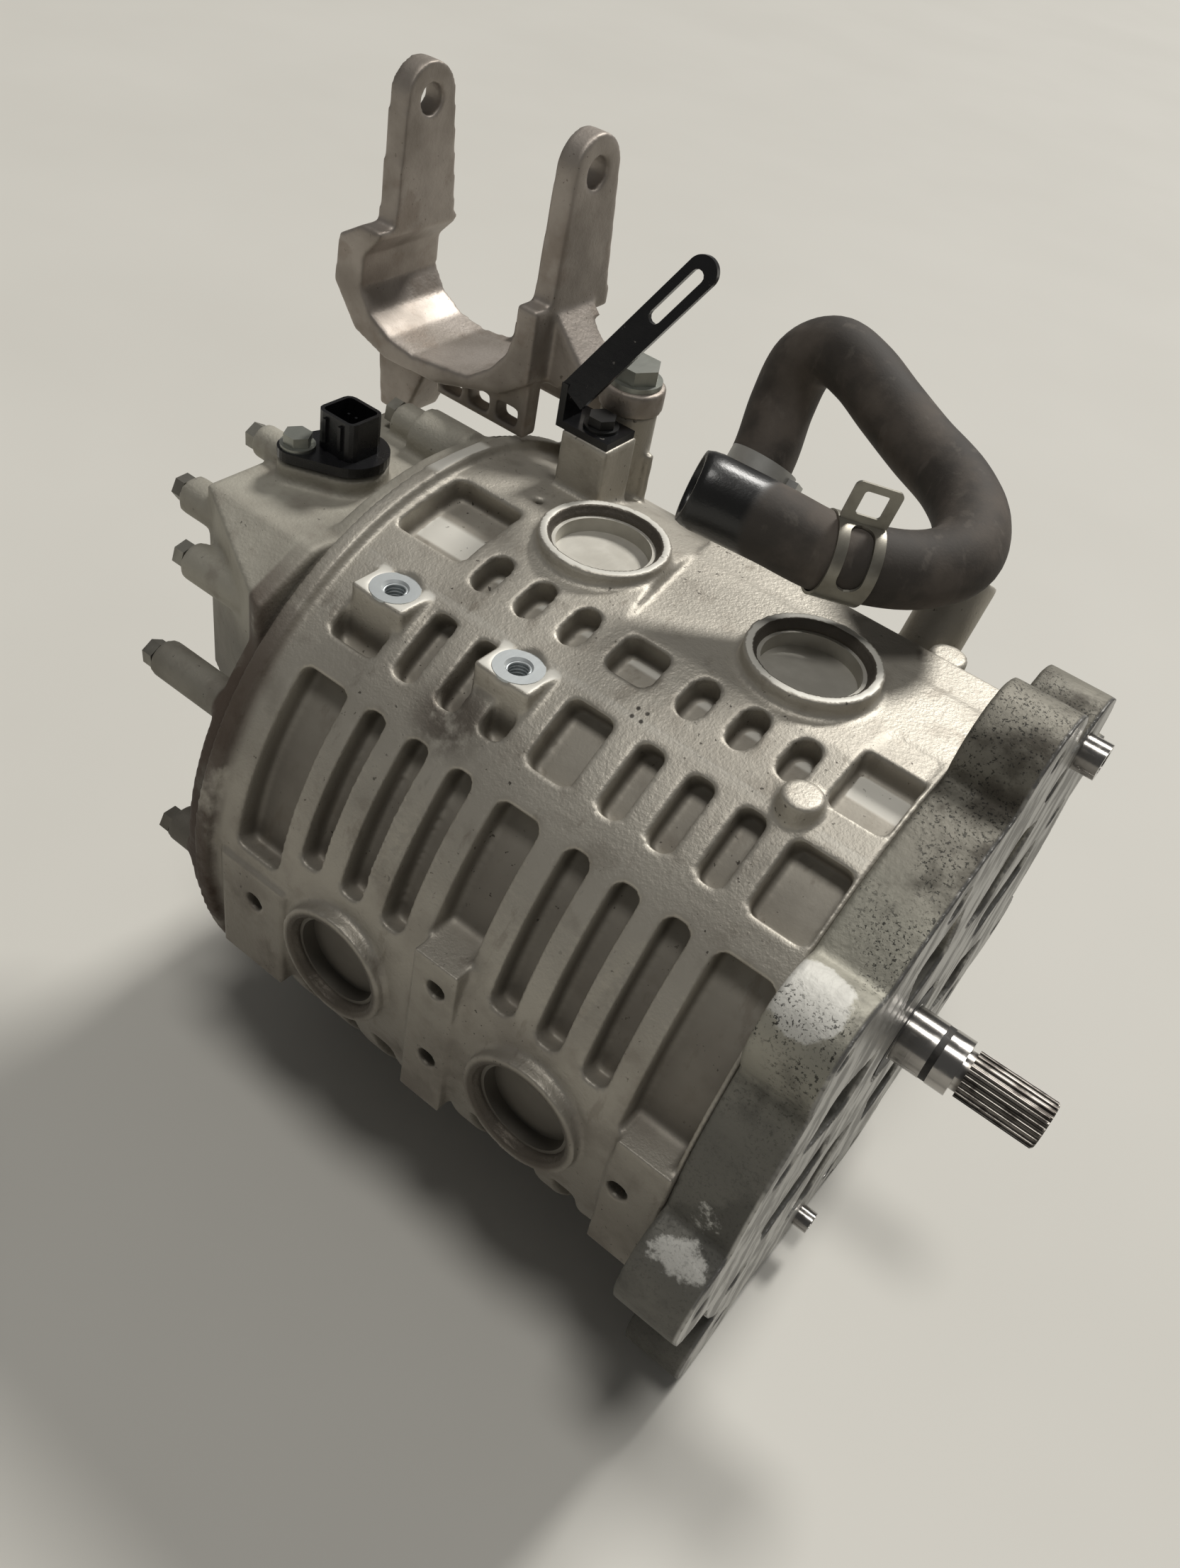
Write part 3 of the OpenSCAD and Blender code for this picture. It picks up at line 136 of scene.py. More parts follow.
class Shade:
    """A shader socket that can be used in sums, products and powers."""

    def __init__(self, socket):
        self.socket = socket

    def node(self, kind, settings=None, sockets=None, out=0):
        made = self.socket.id_data.nodes.new(kind)
        for name, value in (settings or {}).items():
            setattr(made, name, value)
        for name, value in (sockets or {}).items():
            if isinstance(value, Shade):
                self.socket.id_data.links.new(value.socket, made.inputs[name])
            else:
                made.inputs[name].default_value = value
        return Shade(made.outputs[out])

    def maths(self, operation, first, second=0.0):
        return self.node("ShaderNodeMath", {"operation": operation}, {0: first, 1: second})

    def __add__(self, other):
        return self.maths("ADD", self, other)

    def __sub__(self, other):
        return self.maths("SUBTRACT", self, other)

    def __rsub__(self, other):
        return self.maths("SUBTRACT", other, self)

    def __mul__(self, other):
        return self.maths("MULTIPLY", self, other)

    def __pow__(self, other):
        return self.maths("POWER", self, other)

    __radd__ = __add__
    __rmul__ = __mul__

    def between(self, low, high):
        """0 below low, 1 above high, and a soft step between."""
        return self.node("ShaderNodeMapRange", {"interpolation_type": "SMOOTHSTEP"},
                         {"Value": self, "From Min": low, "From Max": high})

    def noise(self, scale, detail=3.0, roughness=0.55, stretch=None):
        """Cloudy noise at this place; scale in clouds per metre."""
        at = self
        if stretch:
            at = self.node("ShaderNodeVectorMath", {"operation": "MULTIPLY"}, {0: self, 1: stretch})
        return self.node("ShaderNodeTexNoise", {}, {"Vector": at, "Scale": scale, "Detail": detail,
                                                   "Roughness": roughness})

    def part(self, axis):
        """One of the three coordinates of a place."""
        return self.node("ShaderNodeSeparateXYZ", {}, {"Vector": self}, "XYZ".index(axis))

    def away(self, spot):
        """Distance of this place from a spot."""
        return self.node("ShaderNodeVectorMath", {"operation": "DISTANCE"}, {0: self, 1: spot}, 1)

    def blend(self, first, second):
        """This mask mixes two colours."""
        return self.node("ShaderNodeMix", {"data_type": "RGBA"}, {0: self, 6: first, 7: second}, 2)

    def bump(self, strength, distance):
        """A normal that shows this value as height; distance in metres."""
        return self.node("ShaderNodeBump", {}, {"Strength": strength, "Distance": distance, "Height": self})


def tone(red, green, blue):
    return (red, green, blue, 1.0)


def new_finish(name):
    """A material, its surface shader, and the place on the piece."""
    material = bpy.data.materials.new(name)
    material.use_nodes = True
    surface = material.node_tree.nodes["Principled BSDF"]
    place = Shade(material.node_tree.nodes.new("ShaderNodeTexCoord").outputs["Object"])
    return material, surface, place


def coat(surface, **sockets):
    """Sets or links the surface's sockets, such as base_color or roughness."""
    for name, value in sockets.items():
        target = surface.inputs[name.replace("_", " ").title().replace("Ior", "IOR")]
        if isinstance(value, Shade):
            surface.id_data.links.new(value.socket, target)
        else:
            target.default_value = value


def wear(piece, material):
    piece.data.materials.clear()
    piece.data.materials.append(material)


def hose_rubber():
    material, surface, place = new_finish("hose_rubber")
    x, y = place.part("X"), place.part("Y")
    end = (1 - (x + 0.126).between(0.0, 0.004)) * (1 - y.between(0.03, 0.04))
    dust = place.noise(38, 5).between(0.38, 0.66)
    weave = place.noise(900, 2)
    scuff = place.noise(160, 4, stretch=(1, 1, 0.3)).between(0.58, 0.70)
    rubber = dust.blend(tone(0.046, 0.039, 0.033), tone(0.110, 0.092, 0.077))
    rubber = (scuff * 0.35).blend(rubber, tone(0.15, 0.13, 0.11))
    rubber = end.blend(rubber, tone(0.012, 0.012, 0.012))
    height = weave * 0.5 + place.noise(120, 4) * 0.8
    coat(surface, base_color=rubber, roughness=0.72 - 0.42 * end + 0.10 * dust,
         normal=height.bump(0.35, 0.0004))
    return material


hose_path = smooth_route(hose_route, route_steps)
hose_len = sum((b - a).length for a, b in zip(hose_path, hose_path[1:]))
lip = [hose_r - 0.0012, hose_r - 0.0004, hose_r]
outer_radii = [hose_r] * (len(hose_path) - 3) + lip[::-1]
inner_path = []
back = 0.0
for i in range(len(hose_path) - 1, 0, -1):
    inner_path.append(hose_path[i])
    back += (hose_path[i] - hose_path[i - 1]).length
    if back > hose_mouth:
        break
hose = swept("coolant_hose_rubber", hose_path + inner_path,
             outer_radii + [hose_bore] * len(inner_path), hose_sides)
wear(hose, hose_rubber())
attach(hose, "motor")
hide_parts("coolant_hose")


# Hose clamps. A plain steel band closes the hose on the outlet pipe; a slotted
# spring-steel clamp with a tall grip loop waits near the free end.
clamp_step = 95
clamp_at = hose_path[clamp_step]
along = (hose_path[clamp_step + 1] - hose_path[clamp_step - 1]).normalized()
raised = (Vector((0, 0, 1)) - along.z * along).normalized()
around = raised.cross(along)
clamp_half = 0.0088
clamp_r = 0.0142
clamp_sheet = 0.0011
slot_half = 0.0046
slot_middle = 0.98
slot_flat = 0.52
weld = 1e-6
band_steps = 144
corner_steps = 6
grip_low, grip_high, grip_round = 0.0144, 0.030, 0.0022
window_side, window_low, window_high, window_round = 0.0042, 0.0182, 0.0272, 0.0012


def rounded_frame(half_w, low, high, radius):
    """Corners of a rounded upright rectangle, as (across, up) pairs."""
    found = []
    for cx, cy, start in ((half_w - radius, high - radius, 0), (radius - half_w, high - radius, 1),
                          (radius - half_w, low + radius, 2), (half_w - radius, low + radius, 3)):
        for k in range(corner_steps):
            a = math.pi / 2 * (start + k / (corner_steps - 1))
            found.append((cx + radius * math.cos(a), cy + radius * math.sin(a)))
    return found


def finished(piece):
    """The piece's mesh with its modifiers applied."""
    return bpy.data.meshes.new_from_object(piece.evaluated_get(bpy.context.evaluated_depsgraph_get()))


def spring_clamp(name):
    """A band with a long slot on the near side, and an open grip loop on top."""
    bm = bmesh.new()
    rows = []
    for k in range(band_steps):
        a = 2 * math.pi * k / band_steps
        past = max(0.0, abs(a - slot_middle) - slot_flat) * clamp_r / slot_half
        gap = slot_half * math.sqrt(max(0.0, 1 - past ** 2))
        outward = math.cos(a) * raised + math.sin(a) * around
        rows.append([bm.verts.new(clamp_at + clamp_r * outward + w * along)
                     for w in (-clamp_half, -gap, gap, clamp_half)])
    for lower, upper in zip(rows, rows[1:] + rows[:1]):
        bm.faces.new((lower[0], lower[1], upper[1], upper[0]))
        bm.faces.new((lower[2], lower[3], upper[3], upper[2]))
    bmesh.ops.remove_doubles(bm, verts=bm.verts, dist=weld)
    loops = [[bm.verts.new(clamp_at + w * along + up * raised) for w, up in corners]
             for corners in (rounded_frame(clamp_half, grip_low, grip_high, grip_round),
                             rounded_frame(clamp_half - window_side, window_low, window_high, window_round))]
    for k in range(4 * corner_steps):
        bm.faces.new((loops[0][k], loops[0][k - 1], loops[1][k - 1], loops[1][k]))
    mesh = bpy.data.meshes.new(name)
    bm.to_mesh(mesh)
    bm.free()
    piece = piece_from(name, mesh, smooth=False)
    sheet = piece.modifiers.new("sheet", "SOLIDIFY")
    sheet.thickness = clamp_sheet
    sheet.offset = 1
    piece.data = finished(piece)
    piece.modifiers.clear()
    return piece


def sheet_steel(name, pale, dark, rough, metallic=1.0, darkening=0.0):
    """Sheet or plated steel; the last argument paints shade on what sits low on the motor."""
    material, surface, place = new_finish(name)
    cloud = place.noise(60, 5)
    scratch = place.noise(700, 3, stretch=(1, 0.15, 0.15))
    low = (0 - place.part("Z")).between(-0.09, 0.0)
    colour = cloud.between(0.35, 0.7).blend(pale, dark)
    # Painted shade: what sits low is blended towards a dark tone.
    colour = (darkening * low).blend(colour, tone(0.09, 0.078, 0.062))
    coat(surface, base_color=colour, metallic=metallic, roughness=rough + 0.2 * (cloud - 0.5),
         normal=(scratch + place.noise(1500, 2) * 0.4).bump(0.15, 0.0002))
    return material


clamp = spring_clamp("spring_clamp_steel")
wear(clamp, sheet_steel("spring_steel", tone(0.34, 0.325, 0.28), tone(0.20, 0.185, 0.155), 0.42, 0.8))
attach(clamp, "motor")
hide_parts("hose_spring_clamp")
wear(cad["pipe_band_clamp"],
     sheet_steel("band_steel", tone(0.50, 0.50, 0.48), tone(0.36, 0.355, 0.34), 0.5, 0.6))


# Motor housing. A gravity-die aluminium casting, shot-blasted, with cast radii
# on every rib and pocket; only rings, pads and boss tops are machined.
plug_x = (-0.134 - 0.0465, -0.134 + 0.0465)
ring_top, boss_top, pad_top, side_pad = 0.136, 0.118, 0.127, 0.1335
plug_tops = [Vector((x, 0, ring_top)) for x in plug_x] + [Vector((x, -ring_top, 0)) for x in plug_x]
crisp_reach = 0.029
ring_sides = 128
grade_step = 0.0008
grade_softness = (0.06, 0.25, 0.5, 0.8, 1.0)
water_jacket = (-0.200, -0.070, 0.103, 0.1175)
housing_planes = (("Z", ring_top), ("Z", boss_top), ("Z", pad_top), ("Y", -ring_top), ("Y", -side_pad))
oil_stain = (-0.1753, -0.0854, 0.0993)
punch_marks = [(x, y, z) for x in (-0.1218, -0.1180)
               for y, z in ((-0.0540, 0.1204), (-0.0573, 0.1189))]


def softened(name, node, voxel, relax, keep, ring=None, machined=(), crisp=()):
    """A copy of a casting with cast radii on its edges, but sharp where it is machined.

    ring adds a hidden ring wall (two stations, two radii); a machined plane is (axis,
    place along it); a crisp spot keeps its edges within crisp_reach; keep is the share
    of faces that stay.
    """
    bm = bmesh.new()
    bm.from_mesh(cad[node].data)
    bmesh.ops.remove_doubles(bm, verts=bm.verts, dist=weld)
    if ring:
        x1, x2, r1, r2 = ring
        loops = [[bm.verts.new((x, r * math.cos(a), r * math.sin(a)))
                  for a in (2 * math.pi * k / ring_sides for k in range(ring_sides))]
                 for x, r in ((x1, r1), (x1, r2), (x2, r2), (x2, r1))]
        made = []
        for a, b in zip(loops, loops[1:] + loops[:1]):
            for k in range(ring_sides):
                following = (k + 1) % ring_sides
                made.append(bm.faces.new((a[k], a[following], b[following], b[k])))
        bmesh.ops.recalc_face_normals(bm, faces=made)
    mesh = bpy.data.meshes.new(name)
    bm.to_mesh(mesh)
    bm.free()
    piece = piece_from(name, mesh)
    skin = piece.modifiers.new("cast_skin", "REMESH")
    skin.mode = "VOXEL"
    skin.voxel_size = voxel
    piece.data = finished(piece)
    piece.modifiers.clear()
    cast = piece.vertex_groups.new(name="cast")
    soft = [[] for softness in grade_softness]
    for vertex in piece.data.vertices:
        away = min([abs(vertex.co["XYZ".index(axis)] - at) for axis, at in machined], default=1.0)
        grade = min(len(soft) - 1, int(away / grade_step))
        if any((vertex.co - spot).length < crisp_reach for spot in crisp):
            grade = min(grade, 1)
        soft[grade].append(vertex.index)
    for picked, softness in zip(soft, grade_softness):
        cast.add(picked, softness, "REPLACE")
    radius = piece.modifiers.new("cast_radius", "SMOOTH")
    radius.factor = 0.5
    radius.iterations = relax
    radius.vertex_group = "cast"
    thin = piece.modifiers.new("cast_facets", "DECIMATE")
    thin.ratio = keep
    shaped = finished(piece)
    piece.modifiers.clear()
    piece.data = shaped
    shaped.polygons.foreach_set("use_smooth", [True] * len(shaped.polygons))
    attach(piece, "motor")
    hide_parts(node)
    return piece


def housing_metal():
    material, surface, place = new_finish("blasted_casting")
    x, y, z = (place.part(axis) for axis in "XYZ")
    facing = place.node("ShaderNodeNewGeometry", {}, {}, "Normal")
    up = facing.part("Z")
    radius = (y * y + z * z) ** 0.5
    pocket = 1 - radius.between(0.1225, 0.1305)
    cloud = place.noise(22, 6)
    patch = place.noise(70, 5)
    peel = place.noise(520, 2) * 0.7 + place.noise(1100, 2) * 0.5
    milled = 0.0
    for level in (ring_top, boss_top):
        off = z.maths("ABSOLUTE", z - level)
        milled = milled + (1 - off.between(0.0010, 0.0018))
    milled = up.between(0.88, 0.96) * milled.between(0.1, 0.9)
    bores = 0.0
    for spot in plug_tops:
        bores = bores + (1 - place.away(spot).between(0.0225, 0.0245))
    low = (0 - z).between(-0.105, 0.045)
    near = (0 - y).between(0.060, 0.108)
    rim = 1 - x.between(-0.2515, -0.2450)
    blot = place.noise(46, 6)
    rust = 0.40 * low * blot.between(0.47, 0.64) + rim * near * blot.between(0.28, 0.46)
    seep = place.noise(90, 5, 0.6, (1, 0.6, 0.35)).between(0.60, 0.68)
    specks = place.noise(430, 3).between(0.67, 0.71) * cloud.between(0.42, 0.60)
    shaded = 1 - up.between(0.25, 0.85)
    # Pockets are drawn darker, and pockets on faces turned away from the top darker still: painted shade in
    # the recesses and on the shaded side.
    metal = (0.35 * pocket + 0.4 * cloud.between(0.35, 0.70)).blend(
        tone(0.50, 0.47, 0.41), tone(0.31, 0.285, 0.245))
    metal = (0.45 * shaded * pocket).blend(metal, tone(0.11, 0.097, 0.080))
    metal = (0.30 * patch.between(0.52, 0.72) + 0.35 * seep).blend(metal, tone(0.20, 0.17, 0.135))
    # Darker towards the bottom: painted shade on the low side of the casting.
    metal = (0.62 * low).blend(metal, tone(0.105, 0.090, 0.072))
    metal = (0.85 * rust).blend(metal, tone(0.055, 0.034, 0.022))
    metal = (0.8 * specks).blend(metal, tone(0.035, 0.028, 0.022))
    metal = (milled * (1 - 0.5 * specks)).blend(metal, tone(0.70, 0.68, 0.62))
    # Painted shade inside the plug bores.
    metal = (0.85 * bores * (1 - milled)).blend(metal, tone(0.075, 0.062, 0.048))
    stain = (1 - place.away(oil_stain).between(0.006, 0.021)) * patch.between(0.36, 0.52)
    metal = (0.75 * stain * (1 - milled)).blend(metal, tone(0.070, 0.052, 0.038))
    # Each punch mark is a dark spot that stands in for the shade in its dimple: painted shade.
    punch_shade = 0.0
    for spot in punch_marks:
        punch_shade = punch_shade + (1 - place.away(spot).between(0.0005, 0.0011))
    metal = (0.9 * punch_shade).blend(metal, tone(0.030, 0.025, 0.020))
    height = peel * (1 - 0.7 * pocket) * (1 - milled) + patch * 0.4 + rust * place.noise(300, 4) * 1.5
    coat(surface, base_color=metal, metallic=0.60 - 0.48 * rust - 0.42 * milled,
         roughness=0.45 + 0.10 * pocket + 0.14 * cloud + 0.18 * rust, normal=height.bump(0.42, 0.0006))
    return material


housing = softened("housing_casting", "motor_housing", voxel=0.0012, relax=3, keep=0.40,
                   ring=water_jacket, machined=housing_planes, crisp=plug_tops)
wear(housing, housing_metal())


# Core plugs and thread inserts. The plugs are pressed cups with a pale dull
# floor; the inserts are zinc plated, threaded, and flush in machined boss tops.
wear(cad["core_plugs"],
     sheet_steel("plug_sheet", tone(0.60, 0.58, 0.525), tone(0.48, 0.46, 0.41), 0.55, 0.6, 0.85))
wear(cad["thread_inserts"],
     sheet_steel("zinc_insert", tone(0.61, 0.645, 0.655), tone(0.50, 0.53, 0.54), 0.45, 0.6))
insert_tops = [Vector((x, -0.0655, boss_top)) for x in (-0.224, -0.165)]
thread_r = 0.0043
thread_pitch = 0.0015
thread_start = 0.7
thread_crest = 0.00055
turn_steps = 20
turns = [2 * math.pi * k / turn_steps for k in range(7 * turn_steps)]
for number, top in enumerate(insert_tops):
    coil = [top + Vector((thread_r * math.cos(a), thread_r * math.sin(a),
                          -thread_pitch * (thread_start + a / (2 * math.pi)))) for a in turns]
    thread = swept("insert_thread_%d" % (number + 1), coil, [thread_crest] * len(coil), 6)
    wear(thread, cad["thread_inserts"].data.materials[0])
    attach(thread, "motor")


# Drive-end plate. A thick weathered casting bolted to the housing, dull and
# stained on its rim, with a bright face-milled front and two ground dowels.
def plate_metal():
    material, surface, place = new_finish("weathered_plate")
    x, z = place.part("X"), place.part("Z")
    face = x.between(-0.0016, -0.0006)
    cloud = place.noise(17, 6)
    darkening = place.noise(26, 6, 0.62).between(0.47, 0.62)
    top = z.between(0.112, 0.128)
    low = (0 - z).between(-0.100, -0.045)
    pits = place.noise(820, 4, 0.7).between(0.56, 0.60) * place.noise(30, 3).between(0.38, 0.52)
    pits = pits * (1 - 0.75 * low)
    worn = 0.0
    for spot, reach in (((-0.0185, -0.1030, 0.1050), 0.018), ((-0.0135, -0.1490, 0.0170), 0.022)):
        worn = worn + (1 - place.away(spot).between(0.4 * reach, reach))
    rubbed = (0.62 * worn + place.noise(75, 6, 0.7)).between(0.70, 0.82)
    metal = cloud.between(0.35, 0.68).blend(tone(0.44, 0.42, 0.355), tone(0.29, 0.28, 0.235))
    metal = (0.70 * darkening).blend(metal, tone(0.105, 0.098, 0.080))
    metal = (0.55 * top + 0.35 * top * darkening).blend(metal, tone(0.075, 0.066, 0.052))
    metal = (0.80 * low).blend(metal, tone(0.090, 0.088, 0.080))
    metal = (0.9 * rubbed).blend(metal, tone(0.60, 0.59, 0.55))
    metal = (0.9 * pits).blend(metal, tone(0.020, 0.019, 0.016))
    streak = place.noise(60, 5, 0.6, (1, 1.6, 0.5)).between(0.44, 0.58)
    milled = (0.60 * streak).blend(tone(0.32, 0.315, 0.30), tone(0.15, 0.145, 0.138))
    metal = face.blend(metal, milled)
    rough = face * (0.34 + 0.18 * streak) + (1 - face) * (0.60 + 0.1 * darkening)
    height = (place.noise(420, 4) + place.noise(120, 3) - 1.2 * pits) * (1 - 0.9 * face)
    coat(surface, base_color=metal, metallic=0.45 + 0.50 * face - 0.2 * rubbed, roughness=rough,
         normal=height.bump(0.36, 0.0008))
    return material


plate = softened("drive_end_casting", "drive_end_plate", voxel=0.0013, relax=4, keep=0.45,
                 machined=(("X", 0.0), ("X", -0.027)))
wear(plate, plate_metal())


# Rotor shaft, O-ring and dowels. The journal is ground bright, the rolled
# splines are dark and oily, and a black O-ring sits in its groove.
def ground_steel():
    material, surface, place = new_finish("ground_steel")
    x = place.part("X")
    spline = x.between(0.0255, 0.0275)
    turned = place.noise(1400, 2, stretch=(1, 0.05, 0.05))
    oil = place.noise(140, 4).between(0.45, 0.65)
    oiled = oil.blend(tone(0.17, 0.158, 0.144), tone(0.065, 0.058, 0.052))
    colour = spline.blend(tone(0.38, 0.365, 0.345), oiled)
    coat(surface, base_color=colour, metallic=1.0, roughness=0.16 + 0.14 * spline + 0.08 * oil,
         normal=turned.bump(0.08, 0.0001))
    return material


shaft_finish = ground_steel()
for name in ("rotor_shaft", "dowel_sleeves", "front_bearing_outer_race", "front_bearing_inner_race",
             "rear_bearing_outer_race", "rear_bearing_inner_race", "front_bearing_balls",
             "rear_bearing_balls"):
    wear(cad[name], shaft_finish)


def seal_rubber():
    material, surface, place = new_finish("seal_rubber")
    dust = place.noise(240, 4).between(0.4, 0.7)
    coat(surface, base_color=dust.blend(tone(0.016, 0.015, 0.014), tone(0.045, 0.040, 0.035)),
         roughness=0.5 + 0.2 * dust, normal=place.noise(900, 2).bump(0.2, 0.0002))
    return material


rubber = seal_rubber()
for name in ("shaft_seal", "shaft_o_ring", "connector_seal", "rear_cover_gasket"):
    wear(cad[name], rubber)


# Stator, rotor and bearing parts inside the housing. Stacked steel sheet,
# enamelled copper, coated magnets, a brass cage and plain steel hardware.
def stacked_sheet():
    material, surface, place = new_finish("stacked_sheet")
    edge = place.noise(2600, 1, stretch=(1, 0.01, 0.01))
    coat(surface, base_color=edge.between(0.4, 0.6).blend(tone(0.16, 0.16, 0.17), tone(0.24, 0.24, 0.26)),
         metallic=0.9, roughness=0.45 + 0.15 * edge, normal=edge.bump(0.2, 0.0002))
    return material


def enamelled_copper():
    material, surface, place = new_finish("enamelled_copper")
    strand = place.noise(900, 2, stretch=(0.2, 1, 1))
    colour = strand.between(0.35, 0.65).blend(tone(0.42, 0.16, 0.06), tone(0.58, 0.27, 0.12))
    coat(surface, base_color=colour, metallic=0.8, roughness=0.3 + 0.15 * strand,
         normal=strand.bump(0.3, 0.0004))
    return material


def dull_plastic():
    material, surface, place = new_finish("dull_plastic")
    grain = place.noise(1300, 2)
    cloud = place.noise(40, 3).between(0.3, 0.7)
    coat(surface, base_color=cloud.blend(tone(0.035, 0.035, 0.038), tone(0.055, 0.055, 0.058)),
         roughness=0.5 + 0.15 * grain, normal=grain.bump(0.2, 0.0002))
    return material


sheet, copper = stacked_sheet(), enamelled_copper()
plain = sheet_steel("plain_steel", tone(0.46, 0.46, 0.45), tone(0.33, 0.33, 0.32), 0.38)
plastic = dull_plastic()
magnet = sheet_steel("coated_magnet", tone(0.12, 0.12, 0.13), tone(0.08, 0.08, 0.09), 0.5, 0.6)
turned = sheet_steel("turned_ring", tone(0.60, 0.60, 0.58), tone(0.48, 0.48, 0.46), 0.4)
brass = sheet_steel("cage_brass", tone(0.55, 0.38, 0.14), tone(0.40, 0.27, 0.10), 0.35)
inside = {"stator_core": sheet, "rotor_core": sheet, "resolver_stator": sheet, "resolver_rotor": sheet,
          "stator_windings": copper, "phase_studs": copper, "terminal_block": plastic,
          "rotor_magnets": magnet, "rotor_end_rings": turned, "front_bearing_cage": brass,
          "rear_bearing_cage": brass}
for name in ("bearing_retainer", "bearing_wave_washer", "rotor_nut", "shaft_circlip", "coolant_outlet_pipe",
             "coolant_inlet_pipe"):
    inside[name] = plain
for name, finish in inside.items():
    wear(cad[name], finish)


# Rear cover. A matt aluminium casting with a flat roof for the connector and
# long screw pillars; a cap closes the position sensor's pocket in its hub.
def cover_metal():
    material, surface, place = new_finish("matt_casting")
    x, y, z = (place.part(axis) for axis in "XYZ")
    cloud = place.noise(30, 6)
    dirt = place.noise(80, 5).between(0.55, 0.70)
    flange = x.between(-0.2675, -0.2655)
    rust = flange * (0 - y).between(0.060, 0.108) * place.noise(46, 6).between(0.28, 0.48)
    low = (0 - z).between(-0.112, -0.02)
    specks = place.noise(420, 3).between(0.70, 0.74)
    metal = cloud.between(0.35, 0.7).blend(tone(0.44, 0.42, 0.36), tone(0.32, 0.30, 0.255))
    metal = (dirt * 0.45).blend(metal, tone(0.27, 0.24, 0.20))
    # Darker towards the bottom: painted shade on the cover's low side.
    metal = (0.75 * low).blend(metal, tone(0.060, 0.052, 0.043))
    metal = (specks * 0.7).blend(metal, tone(0.05, 0.045, 0.04))
    metal = (0.9 * rust).blend(metal, tone(0.052, 0.030, 0.019))
    height = place.noise(800, 3) + place.noise(200, 3) + rust * place.noise(300, 4) * 1.5
    coat(surface, base_color=metal, metallic=0.45 * (1 - rust), roughness=0.62 + 0.1 * cloud,
         normal=height.bump(0.32, 0.0005))
    return material


cover_finish = cover_metal()
cover = softened("rear_cover_casting", "rear_cover", voxel=0.0013, relax=2, keep=0.45)
wear(cover, cover_finish)
for name in ("terminal_cover", "resolver_cap"):
    wear(cad[name], cover_finish)


# Screws and bolts. Zinc plated hexagon heads on the covers and bracket, black
# oxide screws in the drive end and on the clip.
zinc = sheet_steel("zinc_plate", tone(0.44, 0.45, 0.41), tone(0.30, 0.31, 0.28), 0.42, 0.9)
dull_zinc = sheet_steel("dull_zinc", tone(0.34, 0.33, 0.29), tone(0.21, 0.20, 0.175), 0.5, 0.8, 0.6)
oxide = sheet_steel("black_oxide", tone(0.040, 0.040, 0.040), tone(0.022, 0.021, 0.020), 0.4, 0.6)
for name in ("bracket_bolts", "connector_bolt"):
    wear(cad[name], zinc)
for name in ("rear_cover_bolts", "terminal_cover_screws", "resolver_cap_screws"):
    wear(cad[name], dull_zinc)
for name in ("drive_end_bolts", "bearing_retainer_screws", "harness_clip_bolt"):
    wear(cad[name], oxide)


# Position-sensor connector. A glossy black moulding with an open socket, sealed to the cover's plinth
# and held by one screw; its gold pins get no finish of their own.
def glossy_black(name, rough, chips):
    material, surface, place = new_finish(name)
    cloud = place.noise(90, 4)
    chip = place.noise(260, 4).between(0.68, 0.72) * chips
    coat(surface, base_color=chip.blend(tone(0.010, 0.010, 0.011), tone(0.16, 0.15, 0.14)),
         roughness=rough + 0.22 * cloud, normal=place.noise(420, 3).bump(0.12, 0.0003))
    return material


wear(cad["resolver_connector"], glossy_black("connector_plastic", 0.16, 0.15))


# Mount bracket. A separate casting on two towers: a saddle with two eyed arms
# for the motor's rubber mount, smoother and brighter than the housing.
def bracket_metal():
    material, surface, place = new_finish("bracket_casting")
    z = place.part("Z")
    cloud = place.noise(34, 6)
    specks = place.noise(650, 3).between(0.66, 0.71) * place.noise(45, 3).between(0.40, 0.60)
    soil = place.noise(60, 5).between(0.52, 0.66) * (1 - (z - 0.205).between(0.0, 0.03))
    metal = cloud.between(0.35, 0.7).blend(tone(0.45, 0.405, 0.365), tone(0.31, 0.275, 0.24))
    metal = (soil * 0.35).blend(metal, tone(0.22, 0.17, 0.13))
    metal = (specks * 0.6).blend(metal, tone(0.09, 0.075, 0.06))
    height = place.noise(700, 3) + place.noise(180, 3)
    coat(surface, base_color=metal, metallic=0.7, roughness=0.46 + 0.15 * cloud,
         normal=height.bump(0.28, 0.0005))
    return material


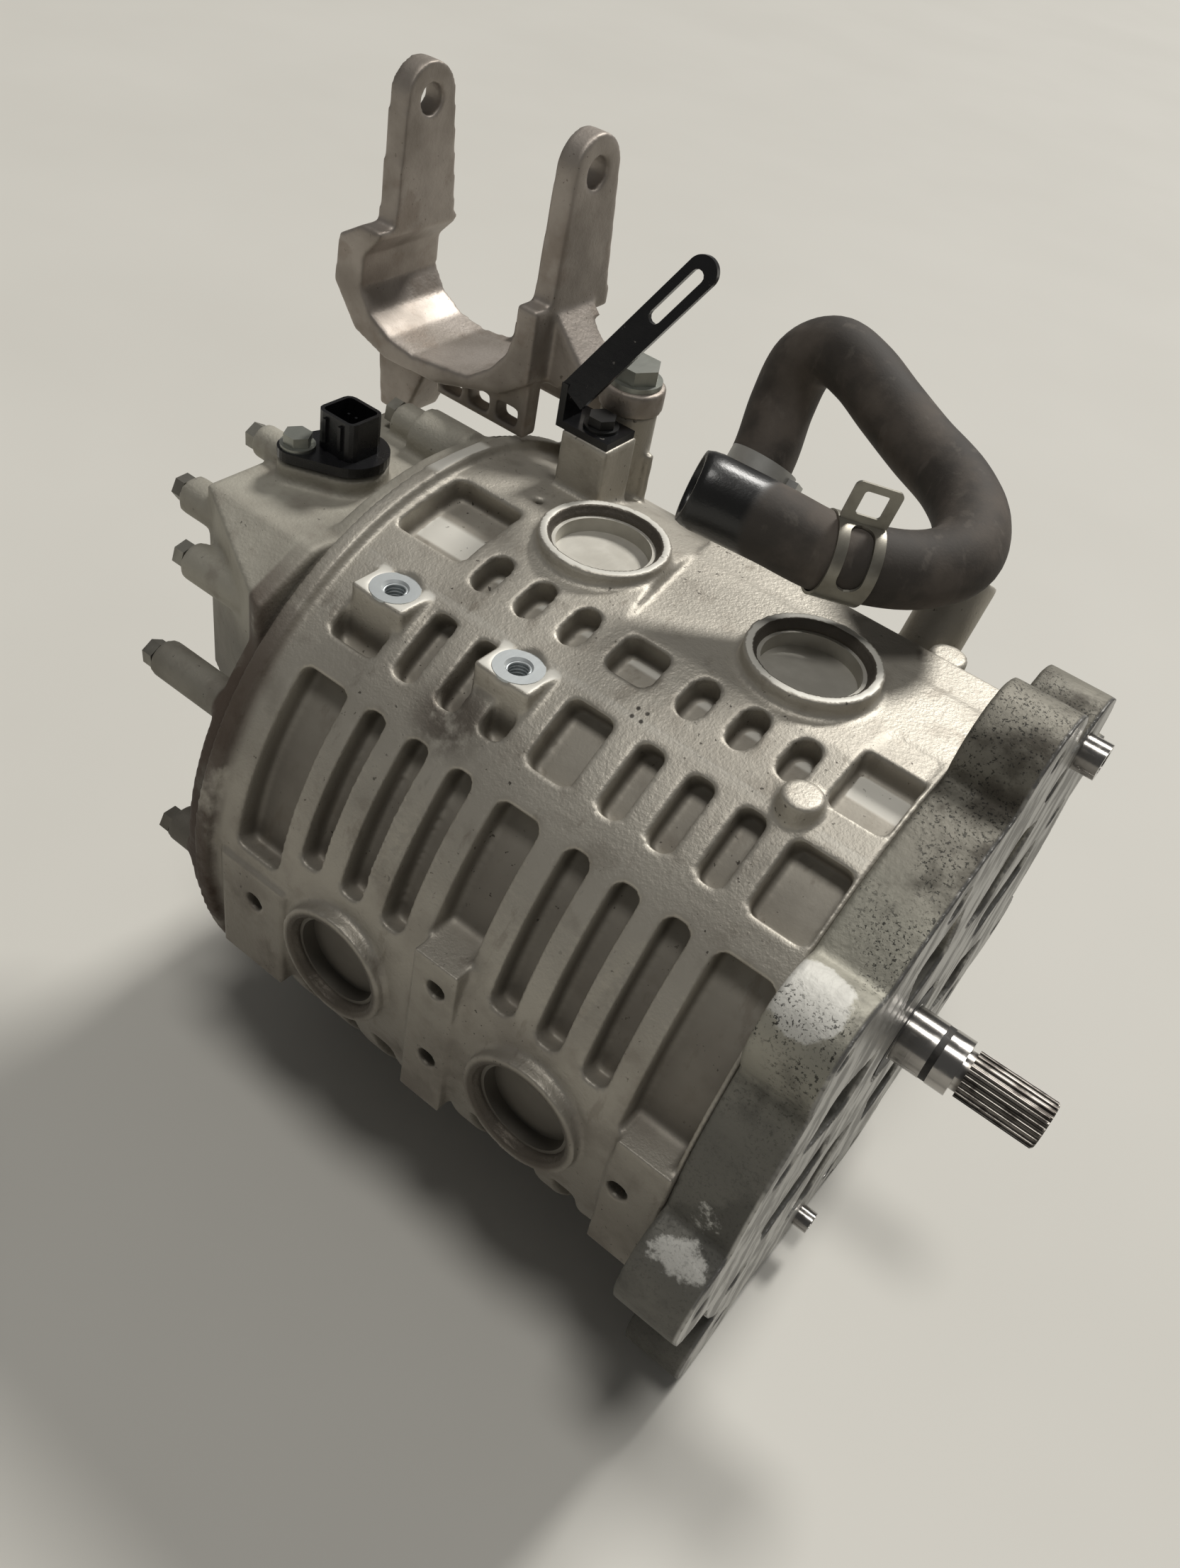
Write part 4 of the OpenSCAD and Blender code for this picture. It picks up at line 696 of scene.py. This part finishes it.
bracket = softened("mount_bracket_casting", "mount_bracket", voxel=0.0011, relax=6, keep=0.6)
wear(bracket, bracket_metal())


# Harness clip. A bent steel strip with a long slot, in gloss black paint,
# screwed to its post on the housing.
wear(cad["harness_clip"], glossy_black("gloss_paint", 0.12, 1.0))


# Floor and light. A pale plain floor under the motor, a soft lamp high behind
# it, a weaker one overhead, and an even pale surround that fills the shaded side.
floor_half = 8
floor_z = cad_box[0][2]
bm = bmesh.new()
bmesh.ops.create_grid(bm, x_segments=8, y_segments=8, size=floor_half)
floor_mesh = bpy.data.meshes.new("floor")
bm.to_mesh(floor_mesh)
bm.free()
floor = piece_from("floor", floor_mesh)
floor.location = (0, 0, floor_z)
floor_paint, floor_surface, floor_place = new_finish("floor_paint")
floor_cloud = floor_place.noise(3, 3).between(0.2, 0.8)
coat(floor_surface, base_color=floor_cloud.blend(tone(0.60, 0.585, 0.54), tone(0.63, 0.615, 0.57)),
     roughness=0.7)
wear(floor, floor_paint)

for name, direction, power, spread in (("high_lamp", (0.02, 0.68, 0.73), 2.3, 0.20),
                                       ("ceiling_lamp", (0.05, -0.10, 0.99), 1.0, 0.25)):
    light = bpy.data.lights.new(name, "SUN")
    light.energy = power
    light.angle = spread
    light.color = (1.0, 0.98, 0.94)
    lamp = bpy.data.objects.new(name, light)
    lamp.rotation_euler = Vector(direction).to_track_quat("Z", "Y").to_euler()
    view.collection.objects.link(lamp)
surround = bpy.data.worlds.new("surround")
surround.use_nodes = True
view.world = surround
fill = surround.node_tree.nodes["Background"]
fill.inputs["Color"].default_value = tone(0.92, 0.91, 0.89)
fill.inputs["Strength"].default_value = 0.13
glow = Shade(fill.outputs[0])
seen = glow.node("ShaderNodeLightPath", {}, {}, "Is Camera Ray")
backdrop = glow.node("ShaderNodeBackground", {}, {"Color": tone(0.60, 0.585, 0.54), "Strength": 1.0})
mixed = glow.node("ShaderNodeMixShader", {}, {0: seen, 1: glow, 2: backdrop})
surround.node_tree.links.new(mixed.socket, surround.node_tree.nodes["World Output"].inputs["Surface"])
